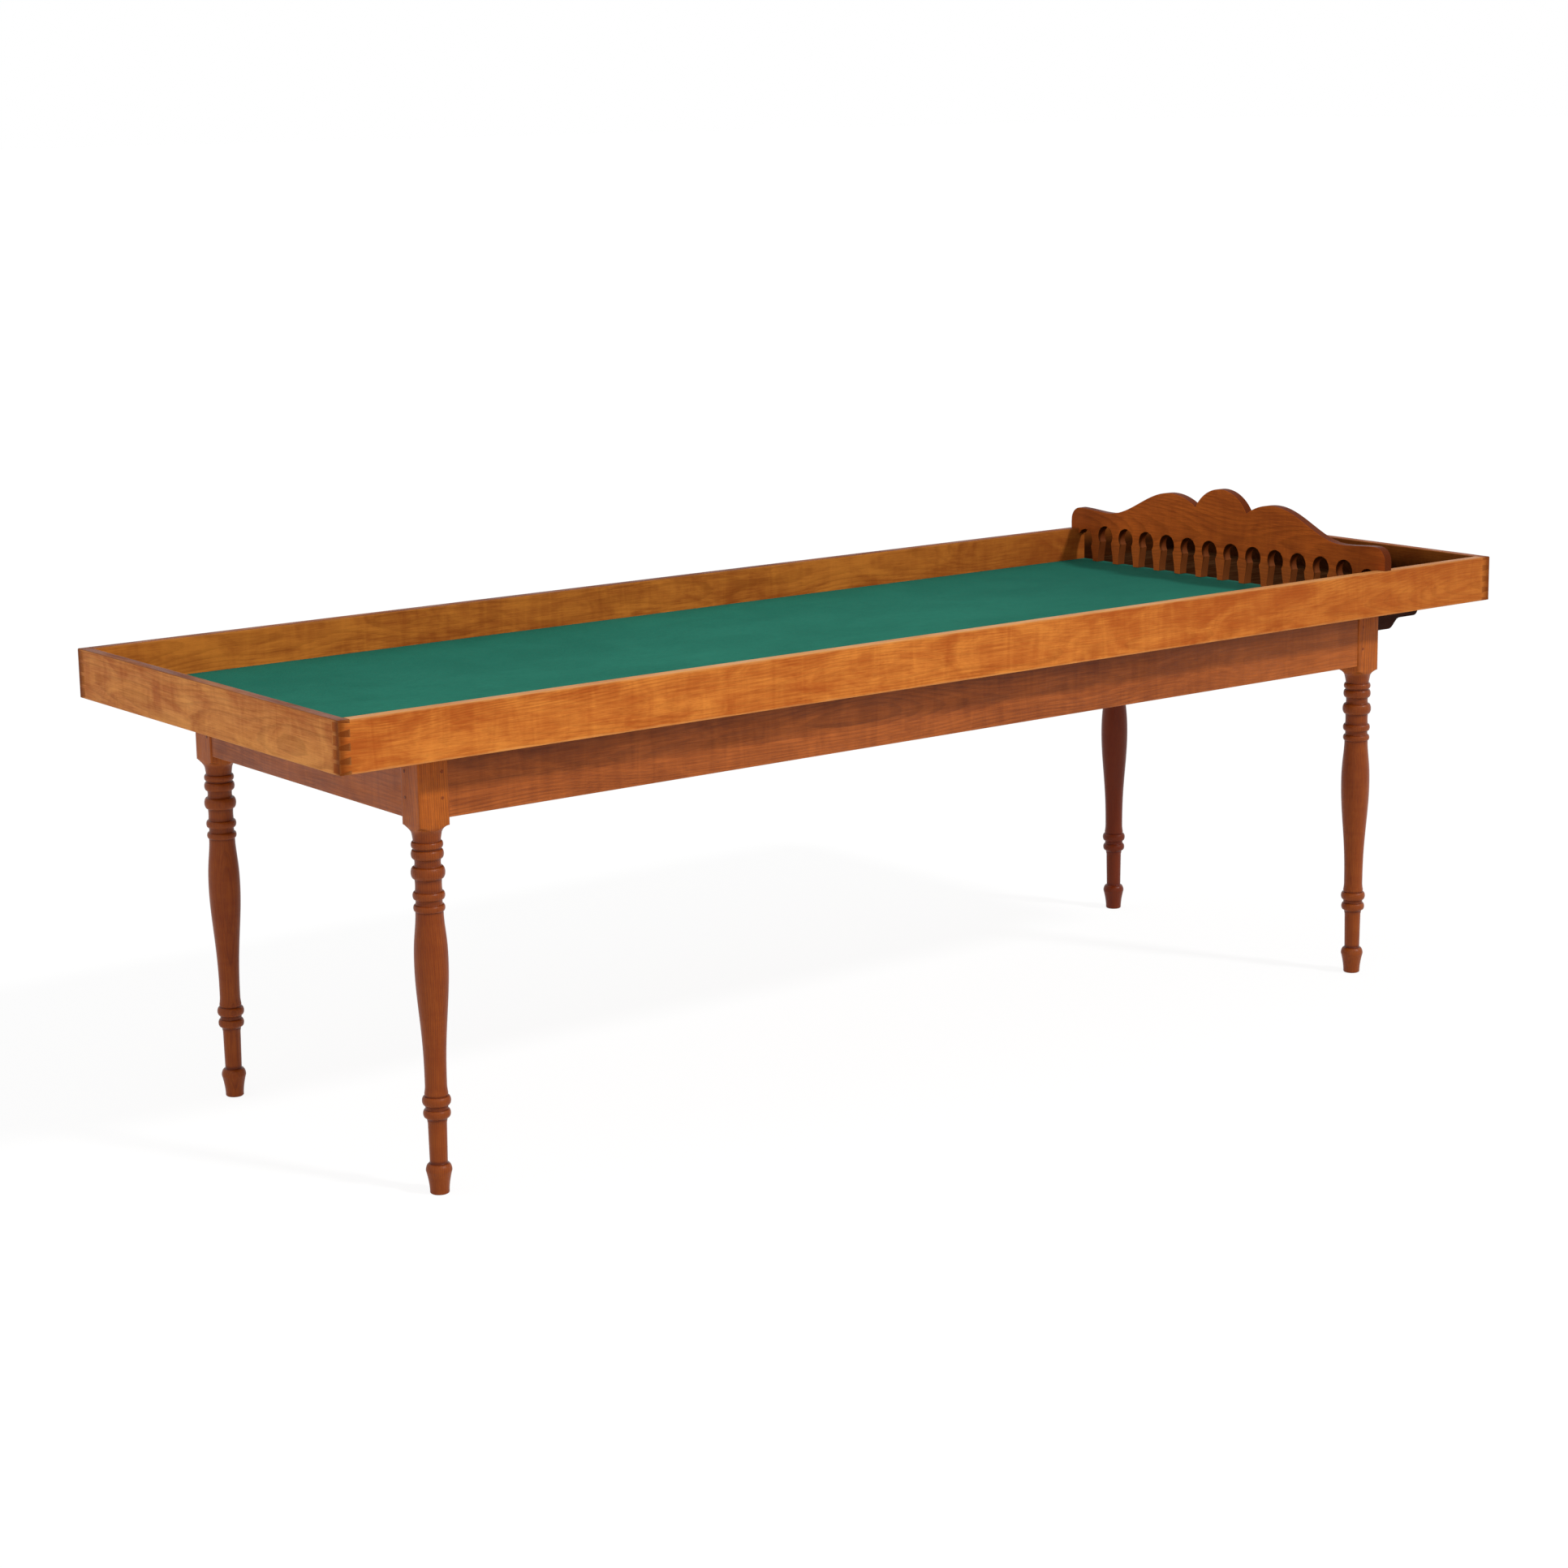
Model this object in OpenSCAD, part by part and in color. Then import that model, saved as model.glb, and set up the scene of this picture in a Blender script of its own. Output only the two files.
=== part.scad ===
// Long game table: a dovetailed tray with a cloth bed and an arcaded gallery,
// set on a stand with four turned legs. Millimetres.
// X runs along the table with the gallery end at +X, the front is -Y, Z is up.
// The origin is on the floor, under the middle of the tray.

/* [Tray] */
// Outside length of the tray
tray_l = 2535; // [2200:5:3000]
// Outside width of the tray
tray_w = 872; // [760:2:1100]
// Height of the rails
rail_h = 84; // [78:1:120]
// Thickness of the rails
rail_t = 20; // [18:0.5:28]
// Thickness of the bed planks
bed_t = 18; // [15:0.5:26]
// Thickness of the cloth
baize_t = 2; // [1:0.5:4]
// Space between the cloth's edge and the rails
baize_gap = 0.3; // [0.1:0.1:1]

/* [Tray joints] */
// How far the bed's tongues reach into their grooves
tongue_l = 8; // [5:0.5:10]
// Thickness of the tongues
tongue_t = 6; // [4:0.5:8]
// Space left at the bottom of each groove for the wood to move
groove_gap = 1; // [0.5:0.1:2]
// Space on each cheek of a tongue
cheek_gap = 0.1; // [0.05:0.05:0.3]
// Number of tails at each corner of the tray
tails = 4; // [3:1:5]
// Width of a pin on its narrow face
pin_w = 6; // [3:0.5:8]
// Angle of the tails
tail_angle = 9; // [6:0.5:11]

/* [Battens under the bed] */
// Width of a batten along the table
batten_w = 45; // [30:1:60]
// Depth of a batten below the bed
batten_t = 25; // [20:1:40]
// Play between the battens and the inside of the stand
seat_gap = 1.5; // [0.5:0.1:3]
// Screws stand in from the edges of each plank by this much
screw_inset = 24; // [20:1:40]
// Diameter of a screw's head
screw_head_d = 9; // [7:0.5:11]
// Diameter of a screw's shank
screw_d = 4.5; // [3.5:0.5:6]
// How far the screws reach into the bed
screw_bite = 12; // [8:0.5:13]

/* [Gallery] */
// Distance from the tray's gallery end to the board's playing face
gallery_inset = 293; // [200:1:400]
// Thickness of the gallery board
gallery_t = 18; // [14:1:24]
// Height of the middle hump above the rails
crest_rise = 116; // [110:1:150]
// Height of the two notches beside it
notch_rise = 75; // [68:1:86]
// Distance of the notches from the middle
notch_y = 71; // [60:1:100]
// Height of the side humps
hump_rise = 96; // [90:1:104]
// Distance of the side humps from the middle
hump_y = 142; // [120:1:160]
// Height of the low necks
neck_rise = 39; // [32:1:44]
// Distance of the necks from the board's ends
neck_inset = 110; // [80:1:120]
// Height of the ears
ear_rise = 43; // [42:1:54]
// Rounding of the ears
ear_r = 26; // [12:1:32]
// Spacing of the arches
arch_pitch = 60.5; // [56:0.5:80]
// Height of the arches above the cloth
arch_h = 75; // [66:1:80]
// Width of the round heads
arch_head_d = 42; // [34:1:46]
// Width of the throats below the heads
arch_throat_w = 32; // [24:1:33]
// Width between the feet of the posts
arch_foot_w = 45; // [34:1:48]
// Space between the posts and the cloth
post_gap = 0.3; // [0.3:0.1:1]
// Space between the gallery's ends and the rails
gallery_gap = 0.5; // [0.3:0.1:2]
// Diameter of the two locating pegs
locator_d = 8; // [6:0.5:10]
// Length of a locating peg inside the ear
locator_up = 22; // [15:1:26]
// Length of a locating peg inside the rail
locator_down = 20; // [12:1:30]
// Play of a locating peg in the rail, on the radius
locator_play = 0.15; // [0.1:0.05:0.5]

/* [Stand] */
// Height of the stand, where the tray rests
stand_h = 716; // [680:1:780]
// The tray reaches past the stand at the plain end
overhang_left = 175; // [100:1:260]
// The tray reaches past the stand at the gallery end
overhang_right = 231; // [140:1:300]
// The tray reaches past the stand at each side
overhang_side = 69; // [40:1:100]
// Height of the aprons
apron_h = 107; // [90:1:130]
// Thickness of the aprons
apron_t = 22; // [18:1:26]
// The aprons lie back from the leg blocks' faces by this much
apron_setback = 2; // [1:0.5:4]
// Width of the square leg blocks
block_w = 54; // [50:1:64]
// The blocks reach below the aprons by this much
block_drop = 11; // [6:1:20]

/* [Stand joints] */
// Length of the apron tenons
tenon_l = 28; // [20:1:30]
// Thickness of the apron tenons
tenon_t = 8; // [6:0.5:9]
// The tenons are cut back this much at the top and the bottom
tenon_shoulder = 12; // [8:1:20]
// Space at the bottom of each mortise
mortise_gap = 2; // [1:0.5:3]
// Diameter of the pegs through the tenons
peg_d = 6; // [5:0.5:8]
// Length of the pegs
peg_l = 30; // [24:1:34]
// Distance of the pegs from the tenons' shoulders
peg_inset = 12; // [8:0.5:14]
// Fit of pegs and screws in their holes, on the radius
peg_fit = 0.05; // [0.02:0.01:0.1]
// Distance of the cross bearers from the middle of the stand
bearer_x = 520; // [300:5:640]
// Width of a cross bearer
bearer_w = 60; // [50:1:80]
// Thickness of a cross bearer
bearer_t = 22; // [16:1:28]
// Length of the dovetails on the bearers
lap_l = 12; // [8:1:14]
// Width of these dovetails at their root
lap_w = 40; // [30:1:44]
// Flare of these dovetails on each side
lap_flare = 4; // [2:0.5:6]

/* [Corbels] */
// Length of the corbels under the gallery end
corbel_l = 126; // [100:1:138]
// Depth of a corbel against the leg
corbel_h = 47; // [40:1:60]
// Depth of its thin end
corbel_tip_h = 28; // [20:1:34]
// Thickness of a corbel
corbel_t = 22; // [16:1:28]
// Length of its deep part
corbel_root_l = 46; // [30:1:50]
// Length of the curve between them
corbel_curve_l = 28; // [20:1:34]
// Rounding of its nose
corbel_nose_r = 12; // [6:1:18]
// Length of the stub tenon in the leg
stub_l = 7; // [4:0.5:8]
// Height of the stub tenon
stub_h = 28; // [20:1:34]
// Thickness of the stub tenon
stub_t = 8; // [6:0.5:10]

/* [Leg turning] */
// Diameter of the foot on the floor
toe_d = 31; // [26:0.5:36]
// Diameter of the foot's bulb
bulb_d = 42; // [38:0.5:48]
// Height of the bulb
bulb_z = 38; // [32:1:44]
// Diameter of the ankle
ankle_d = 28.5; // [25:0.5:30]
// Height of the double ring
ring_z = 125; // [110:1:140]
// Diameter of the lower ring
ring_low_d = 44; // [40:0.5:48]
// Diameter of the upper ring
ring_high_d = 46; // [42:0.5:50]
// Diameter of the shaft above the rings
shin_d = 35; // [32:0.5:37]
// Diameter of the belly
belly_d = 54; // [50:0.5:56]
// Height of the belly
belly_z = 374; // [340:1:390]
// Diameter of the turned core between the beads
core_d = 44; // [40:0.5:46]
// Diameter of the small beads
bead_d = 51; // [48:0.5:54]
// Diameter of the large bead
big_bead_d = 54; // [51:0.5:56]
// Diameter at the bottom of the coves
cove_d = 41; // [37:0.5:43]
// Height of the turned shoulder under the block
pommel_h = 22; // [16:1:28]

/* [Hidden] */
$fn = 96;
LEFT = -1;
RIGHT = 1;
FRONT = -1;
BACK = 1;
over = 1;
wood_bright = [0.78, 0.43, 0.18];
wood_brown = [0.62, 0.32, 0.15];
wood_dark = [0.45, 0.22, 0.11];
wood_plain = [0.66, 0.47, 0.29];
iron = [0.28, 0.26, 0.25];
cloth_green = [0.11, 0.47, 0.38];

// Tray
inner_l = tray_l - 2 * rail_t;
inner_w = tray_w - 2 * rail_t;
rail_top = stand_h + rail_h;
cloth_top = stand_h + bed_t + baize_t;
planks = 4;
plank_w = inner_w / planks;
tongue_z = stand_h + (bed_t - tongue_t) / 2;
tail_pitch = rail_h / tails;
pin_flare = rail_t * tan(tail_angle);

// Stand
stand_x0 = -tray_l / 2 + overhang_left;
stand_x1 = tray_l / 2 - overhang_right;
stand_w = tray_w - 2 * overhang_side;
stand_mid = (stand_x0 + stand_x1) / 2;
leg_x = [stand_x0 + block_w / 2, stand_x1 - block_w / 2];
leg_y = stand_w / 2 - block_w / 2;
apron_z = stand_h - apron_h;
block_z = apron_z - block_drop;
apron_in = apron_setback + apron_t;
apron_mid = apron_setback + apron_t / 2;
tenon_z = apron_z + tenon_shoulder;
tenon_h = apron_h - 2 * tenon_shoulder;
peg_zs = [tenon_z + tenon_h / 4, tenon_z + tenon_h * 3 / 4];
bearer_half = stand_w / 2 - apron_in;

// Battens and their screws
batten_y_end = stand_w / 2 - block_w - seat_gap;
batten_y_mid = stand_w / 2 - apron_in - seat_gap;
batten_inset = apron_in + seat_gap + batten_w / 2;
batten_xs = [stand_x0 + batten_inset, stand_mid, stand_x1 - batten_inset];
batten_halves = [batten_y_end, batten_y_mid, batten_y_end];
screw_head_h = (screw_head_d - screw_d) / 2 + 0.8;
screw_tip = 5;
screw_slot_w = 1.2;
screw_slot_h = 1.1;

// Gallery
gallery_x = tray_l / 2 - gallery_inset;
gallery_mid = gallery_x + gallery_t / 2;
gallery_half = inner_w / 2 - gallery_gap;
post_z = cloth_top + post_gap;
head_z = cloth_top + arch_h - arch_head_d / 2;
last_post = 10;
arches = floor((gallery_half - last_post + arch_foot_w / 2) / arch_pitch - 0.5) + 1;
locator_y = tray_w / 2 - rail_t / 2;

// Leg turning, from the floor up
steps = 7;
toe_ease = 1.5;
bulb_top = 12;
ring_low_h = 14;
ring_groove_h = 6;
ring_high_h = 16;
ring_cove_h = 17;
shin_z = ring_z + ring_low_h + ring_groove_h + ring_high_h + ring_cove_h;
pommel_z = block_z - pommel_h;
half_diagonal = block_w / sqrt(2) + 0.5;
// Turned members from the block down: height and greatest or least diameter
collar = [
  [4, core_d], [11, bead_d - 0.5], [2, core_d], [15, bead_d + 0.5], [12, cove_d], [20, big_bead_d],
  [20, cove_d + 1], [13, bead_d], [8, cove_d + 1], [11, bead_d - 1]
];
collar_z = pommel_z - sum_heights(len(collar));

function sum_heights(count) = count == 0 ? 0 : collar[count - 1][0] + sum_heights(count - 1);

// A bead or a cove of a given height on a core, from z upwards
function swell(z, h, core, d) =
  let (n = d == core ? 1 : steps)
  [for (i = [0:n]) let (a = 180 * i / n) [(core + (d - core) * sin(a)) / 2, z + h * (1 - cos(a)) / 2]];

// A smooth change of diameter; a fullness above 1 keeps the first diameter longer
function taper(z0, d0, z1, d1, fullness, n) =
  [for (i = [1:n]) let (t = pow(i / n, fullness))
    [(d0 + (d1 - d0) * (1 - cos(180 * t)) / 2) / 2, z0 + (z1 - z0) * i / n]];

// A rise that is flat at first and steepens towards its end
function flare(z0, d0, z1, d1, n) =
  [for (i = [1:n]) [(d0 + (d1 - d0) * pow(i / n, 1.8)) / 2, z0 + (z1 - z0) * i / n]];

function shoulder(z, h, d0, d1) =
  [for (i = [1:steps]) let (a = 90 * i / steps) [(d0 + (d1 - d0) * (1 - cos(a))) / 2, z + h * sin(a)]];

turning = concat(
  [[0, 0], [toe_d / 2 - toe_ease, 0], [toe_d / 2, toe_ease]],
  flare(toe_ease, toe_d, bulb_z, bulb_d, 6),
  shoulder(bulb_z, bulb_top, bulb_d, ankle_d),
  taper(ring_z - 14, ankle_d + 1.5, ring_z, ankle_d + 5, 1.5, 3),
  swell(ring_z, ring_low_h, ankle_d + 8, ring_low_d),
  swell(ring_z + ring_low_h + ring_groove_h, ring_high_h, ankle_d + 8, ring_high_d),
  taper(shin_z - ring_cove_h, ankle_d + 10, shin_z, shin_d, 0.8, 5),
  taper(shin_z, shin_d, belly_z, belly_d, 1.25, 14),
  taper(belly_z, belly_d, collar_z, core_d, 1.35, 9),
  [for (i = [len(collar) - 1:-1:0])
    each swell(pommel_z - sum_heights(i + 1), collar[i][0], core_d, collar[i][1])],
  [[core_d / 2, pommel_z + over], [0, pommel_z + over]]
);

module turned_leg() {
  rotate_extrude() polygon(turning);
  translate([-block_w / 2, -block_w / 2, block_z]) cube([block_w, block_w, stand_h - block_z]);
  intersection() {
    translate([-block_w / 2, -block_w / 2, pommel_z]) cube([block_w, block_w, pommel_h + over]);
    rotate_extrude() polygon(concat(
      [[0, pommel_z], [core_d / 2, pommel_z]],
      shoulder(pommel_z, pommel_h, core_d, 2 * half_diagonal),
      [[half_diagonal, block_z + over], [0, block_z + over]]
    ));
  }
}

// Tenon along +X from the shoulder, centred on Y; cut makes the mortise for it
module tenon(cut) {
  reach = tenon_l + (cut ? mortise_gap : 0);
  translate([-over, -tenon_t / 2, tenon_z]) cube([reach + over, tenon_t, tenon_h]);
}

// Peg holes through a tenon, seen from the shoulder
module tenon_pegs(r) {
  for (z = peg_zs)
    translate([peg_inset, 0, z]) rotate([-90, 0, 0]) translate([0, 0, -apron_mid]) cylinder(h = peg_l, r = r);
}

// What is cut from a leg on the side where the long apron comes in
module leg_joint() {
  translate([block_w / 2, -block_w / 2 + apron_mid, 0]) mirror([1, 0, 0]) {
    tenon(true);
    tenon_pegs(peg_d / 2 + peg_fit);
  }
}

// Swaps X and Y, for the end apron's joint on the same leg
module swap_xy() {
  mirror([1, -1, 0]) children();
}

// A leg whose inner sides face +X and +Y before it is mirrored to its corner
module leg(side, face) {
  color(wood_brown)
  translate([side == LEFT ? leg_x[0] : leg_x[1], face * leg_y, 0])
  mirror([side == RIGHT ? 1 : 0, 0, 0])
  mirror([0, face == BACK ? 1 : 0, 0])
  difference() {
    turned_leg();
    leg_joint();
    swap_xy() leg_joint();
    if (side == RIGHT) corbel_mortise();
  }
}

module corbel_mortise() {
  translate([-block_w / 2 - over, -stub_t / 2, stand_h - (corbel_h + stub_h) / 2])
    cube([over + stub_l, stub_t, stub_h]);
}

// An apron along X between two shoulders, its outer face at y = 0
module apron(length) {
  difference() {
    union() {
      translate([-length / 2, 0, apron_z]) cube([length, apron_t, apron_h]);
      for (m = [0, 1])
        mirror([m, 0, 0]) translate([length / 2, apron_t / 2, 0]) tenon(false);
    }
    for (m = [0, 1])
      mirror([m, 0, 0]) translate([length / 2, apron_t / 2, 0]) tenon_pegs(peg_d / 2 + peg_fit);
  }
}

module long_apron(face) {
  length = stand_x1 - stand_x0 - 2 * block_w;
  color(wood_brown)
  difference() {
    translate([stand_mid, 0, 0])
      mirror([0, face == BACK ? 1 : 0, 0])
        translate([0, -stand_w / 2 + apron_setback, 0]) apron(length);
    bearer(LEFT);
    bearer(RIGHT);
  }
}

module end_apron(side) {
  length = stand_w - 2 * block_w;
  edge = side == LEFT ? stand_x0 : stand_x1;
  color(wood_brown)
  translate([edge, 0, 0])
    mirror([side == RIGHT ? 1 : 0, 0, 0])
      translate([apron_setback, 0, 0]) swap_xy() apron(length);
}

module apron_pegs() {
  color(wood_dark)
  for (side = [LEFT, RIGHT], face = [FRONT, BACK])
    translate([side == LEFT ? leg_x[0] : leg_x[1], face * leg_y, 0])
      mirror([side == RIGHT ? 1 : 0, 0, 0])
        mirror([0, face == BACK ? 1 : 0, 0]) {
          joint_pegs();
          swap_xy() joint_pegs();
        }
}

module joint_pegs() {
  translate([block_w / 2, -block_w / 2 + apron_mid, 0]) mirror([1, 0, 0]) tenon_pegs(peg_d / 2);
}

// A cross bearer with a dovetail lapped into the top of each long apron
module bearer(side) {
  color(wood_plain)
  translate([stand_mid + side * bearer_x, 0, stand_h - bearer_t])
    linear_extrude(bearer_t) polygon([
      for (q = [[1, 1], [-1, 1], [-1, -1], [1, -1]])
        each let (tail = [
          [q[0] * bearer_w / 2, q[1] * bearer_half],
          [q[0] * lap_w / 2, q[1] * bearer_half],
          [q[0] * (lap_w / 2 + lap_flare), q[1] * (bearer_half + lap_l)]
        ])
        q[0] == q[1] ? tail : [tail[2], tail[1], tail[0]]
    ]);
}

// A scrolled corbel under the gallery end, stub-tenoned into the leg block
module corbel(face) {
  bend_x = corbel_root_l + corbel_curve_l;
  color(wood_dark)
  translate([stand_x1, face * leg_y, stand_h]) rotate([90, 0, 0]) {
    translate([0, 0, -corbel_t / 2]) linear_extrude(corbel_t) polygon(concat(
      [[0, 0], [corbel_l, 0]],
      [for (i = [0:steps]) let (a = -90 * i / steps)
        [corbel_l - corbel_nose_r * (1 - cos(a)), -corbel_tip_h + corbel_nose_r * (1 + sin(a))]],
      [for (i = [0:8]) let (t = i / 8)
        [bend_x - corbel_curve_l * t, -corbel_tip_h - (corbel_h - corbel_tip_h) * (1 - cos(180 * t)) / 2]],
      [[0, -corbel_h]]
    ));
    translate([-stub_l, -(corbel_h + stub_h) / 2, -stub_t / 2]) cube([stub_l + over, stub_h, stub_t]);
  }
}

// The space for the bed's tongue all round the inside of the rails
module rail_groove() {
  reach = tongue_l + groove_gap;
  translate([-inner_l / 2 - reach, -inner_w / 2 - reach, tongue_z - cheek_gap])
    cube([inner_l + 2 * reach, inner_w + 2 * reach, tongue_t + 2 * cheek_gap]);
}

// The pins of one corner: the end board's, narrow on its outer face
module corner_pins() {
  translate([-tray_l / 2, -tray_w / 2 + rail_t, stand_h]) rotate([90, 0, 0]) linear_extrude(rail_t)
    intersection() {
      square([rail_t, rail_h]);
      for (i = [0:tails])
        translate([0, i * tail_pitch]) polygon([
          [0, -pin_w / 2], [rail_t, -pin_w / 2 - pin_flare], [rail_t, pin_w / 2 + pin_flare], [0, pin_w / 2]
        ]);
    }
}

module long_rail(face) {
  color(wood_bright)
  mirror([0, face == BACK ? 1 : 0, 0])
  difference() {
    translate([-tray_l / 2, -tray_w / 2, stand_h]) cube([tray_l, rail_t, rail_h]);
    corner_pins();
    mirror([1, 0, 0]) corner_pins();
    rail_groove();
    translate([gallery_mid, -locator_y, rail_top - locator_down - groove_gap])
      cylinder(h = locator_down + groove_gap + over, r = locator_d / 2 + locator_play);
  }
}

module end_rail(side) {
  color(wood_bright)
  mirror([side == RIGHT ? 1 : 0, 0, 0])
  difference() {
    union() {
      translate([-tray_l / 2, -inner_w / 2, stand_h]) cube([rail_t, inner_w, rail_h]);
      corner_pins();
      mirror([0, 1, 0]) corner_pins();
    }
    rail_groove();
  }
}

// One plank of the bed, counted from the front; tongued all round but for the edge towards the front
module bed_plank(number) {
  y0 = -inner_w / 2 + (number - 1) * plank_w;
  color(wood_plain)
  difference() {
    union() {
      translate([-inner_l / 2, y0, stand_h]) cube([inner_l, plank_w, bed_t]);
      translate([-inner_l / 2 - tongue_l, y0, tongue_z])
        cube([inner_l + 2 * tongue_l, plank_w + tongue_l, tongue_t]);
      if (number == 1)
        translate([-inner_l / 2 - tongue_l, y0 - tongue_l, tongue_z])
          cube([inner_l + 2 * tongue_l, tongue_l + over, tongue_t]);
    }
    if (number > 1)
      translate([-tray_l / 2, y0 - over, tongue_z - cheek_gap])
        cube([tray_l, over + tongue_l + groove_gap, tongue_t + 2 * cheek_gap]);
    for (b = [0:2], y = screw_ys(batten_halves[b]))
      translate([batten_xs[b], y, stand_h - batten_t]) screw_body(peg_fit);
  }
}

// Two screws in each plank, in from the plank's edges or the batten's ends
function screw_ys(half) = [
  for (i = [0:planks - 1])
    let (low = max(-inner_w / 2 + i * plank_w, -half), high = min(-inner_w / 2 + (i + 1) * plank_w, half))
    each [low + screw_inset, high - screw_inset]
];

// A countersunk screw pointing up, its head flush at z = 0; spare widens it for the hole
module screw_body(spare) {
  length = batten_t + screw_bite;
  translate([0, 0, spare > 0 ? -over : 0])
    cylinder(h = 0.8 + (spare > 0 ? over : 0), r = screw_head_d / 2 + spare);
  translate([0, 0, 0.8])
    cylinder(h = screw_head_h - 0.8, r1 = screw_head_d / 2 + spare, r2 = screw_d / 2 + spare);
  translate([0, 0, screw_head_h])
    cylinder(h = length - screw_tip - screw_head_h, r = screw_d / 2 + spare);
  translate([0, 0, length - screw_tip])
    cylinder(h = screw_tip, r1 = screw_d / 2 + spare, r2 = 0.4 + spare);
}

module batten(index) {
  color(wood_plain)
  difference() {
    translate([batten_xs[index] - batten_w / 2, -batten_halves[index], stand_h - batten_t])
      cube([batten_w, 2 * batten_halves[index], batten_t]);
    for (y = screw_ys(batten_halves[index]))
      translate([batten_xs[index], y, stand_h - batten_t]) screw_body(peg_fit);
  }
}

module batten_screws() {
  color(iron)
  for (b = [0:2], y = screw_ys(batten_halves[b]))
    translate([batten_xs[b], y, stand_h - batten_t])
      difference() {
        screw_body(0);
        rotate([0, 0, 37 * y + 61 * b])
          translate([-screw_head_d, -screw_slot_w / 2, -over])
            cube([2 * screw_head_d, screw_slot_w, over + screw_slot_h]);
      }
}

// The cloth covers the bed from the plain end to the back of the gallery
module baize() {
  start = -inner_l / 2 + baize_gap;
  color(cloth_green)
  translate([start, -inner_w / 2 + baize_gap, stand_h + bed_t])
    cube([gallery_x + gallery_t - start, inner_w - 2 * baize_gap, baize_t]);
}

// A curve between two points of the outline, level at both ends
function ease(p, q, n) =
  [for (i = [1:n]) let (t = i / n) [p[0] + (q[0] - p[0]) * t, p[1] + (q[1] - p[1]) * (1 - cos(180 * t)) / 2]];

// A circular arc that is level at its highest point, from there out to q
function dome(top, q, n) =
  let (w = q[0] - top[0], h = top[1] - q[1], r = (w * w + h * h) / (2 * h), sweep = asin(w / r))
  [for (i = [0:n]) let (a = sweep * i / n) [top[0] + r * sin(a), top[1] - r * (1 - cos(a))]];

function reversed(list) = [for (i = [len(list) - 1:-1:0]) list[i]];

// Half of the gallery's outline, from the middle out to an end
gallery_edge = concat(
  dome([0, rail_top + crest_rise], [notch_y, rail_top + notch_rise], 20),
  reversed(dome([hump_y, rail_top + hump_rise], [notch_y, rail_top + notch_rise], 16)),
  ease([hump_y, rail_top + hump_rise], [tray_w / 2 - neck_inset, rail_top + neck_rise], 28),
  ease([tray_w / 2 - neck_inset, rail_top + neck_rise], [tray_w / 2 - ear_r, rail_top + ear_rise], 10),
  [for (i = [1:12]) let (a = 90 - 90 * i / 12)
    [tray_w / 2 - ear_r + ear_r * cos(a), rail_top + ear_rise - ear_r + ear_r * sin(a)]],
  [[tray_w / 2, rail_top], [gallery_half, rail_top], [gallery_half, post_z]]
);

// An arch's cut: a round head centred at the given height, over a throat that widens to its foot
module arch_cut(y, head) {
  deep = gallery_t + 2 * over;
  spread = (arch_foot_w - arch_throat_w) / 2;
  half = [
    for (i = [0:12]) let (t = i / 12)
      [arch_throat_w / 2 + spread * (1 - cos(180 * t)) / 2, head + (post_z - head) * t]
  ];
  translate([gallery_x - over, y, 0]) rotate([90, 0, 90]) {
    translate([0, head, 0]) cylinder(h = deep, d = arch_head_d);
    linear_extrude(deep) polygon(concat(
      half,
      [[arch_foot_w / 2, post_z - over], [-arch_foot_w / 2, post_z - over]],
      [for (p = reversed(half)) [-p[0], p[1]]]
    ));
  }
}

// The arches on one side of the middle; the last stays below the rail's top and is open towards the rail
module arch_row() {
  last_y = (arches - 0.5) * arch_pitch;
  last_head = min(head_z, rail_top - arch_head_d / 2);
  for (i = [0:arches - 1]) arch_cut((i + 0.5) * arch_pitch, i == arches - 1 ? last_head : head_z);
  if (last_y + arch_foot_w / 2 + last_post > gallery_half && last_y < gallery_half)
    translate([gallery_x - over, last_y, post_z - over])
      cube([gallery_t + 2 * over, gallery_half + over - last_y, last_head + arch_head_d / 4 - post_z + over]);
}

module gallery_board() {
  left_edge = [for (p = reversed(gallery_edge)) [-p[0], p[1]]];
  color(wood_brown)
  difference() {
    translate([gallery_x, 0, 0]) rotate([90, 0, 90]) linear_extrude(gallery_t)
      polygon(concat(gallery_edge, [for (i = [0:len(left_edge) - 2]) left_edge[i]]));
    intersection() {
      for (m = [0, 1]) mirror([0, m, 0]) arch_row();
      translate([gallery_x - 2 * over, -inner_w / 2, 0])
        cube([gallery_t + 4 * over, inner_w, rail_top + crest_rise]);
    }
    for (m = [0, 1])
      mirror([0, m, 0]) translate([gallery_mid, -locator_y, rail_top - over])
        cylinder(h = locator_up + over, r = locator_d / 2 + peg_fit);
  }
}

module gallery_pegs() {
  color(wood_plain)
  for (m = [0, 1])
    mirror([0, m, 0]) translate([gallery_mid, -locator_y, rail_top - locator_down])
      cylinder(h = locator_down + locator_up, d = locator_d);
}

leg(LEFT, FRONT);  // leg_front_left
leg(RIGHT, FRONT);  // leg_front_right
leg(LEFT, BACK);  // leg_back_left
leg(RIGHT, BACK);  // leg_back_right
long_apron(FRONT);  // apron_front
long_apron(BACK);  // apron_back
end_apron(LEFT);  // apron_left
end_apron(RIGHT);  // apron_right
apron_pegs();
bearer(LEFT);  // bearer_left
bearer(RIGHT);  // bearer_right
corbel(FRONT);  // corbel_front
corbel(BACK);  // corbel_back
long_rail(FRONT);  // rail_front
long_rail(BACK);  // rail_back
end_rail(LEFT);  // rail_left
end_rail(RIGHT);  // rail_right
bed_plank(1);  // bed_plank_1
bed_plank(2);  // bed_plank_2
bed_plank(3);  // bed_plank_3
bed_plank(4);  // bed_plank_4
batten(0);  // batten_left
batten(1);  // batten_middle
batten(2);  // batten_right
batten_screws();
baize();
gallery_board();
gallery_pegs();
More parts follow.
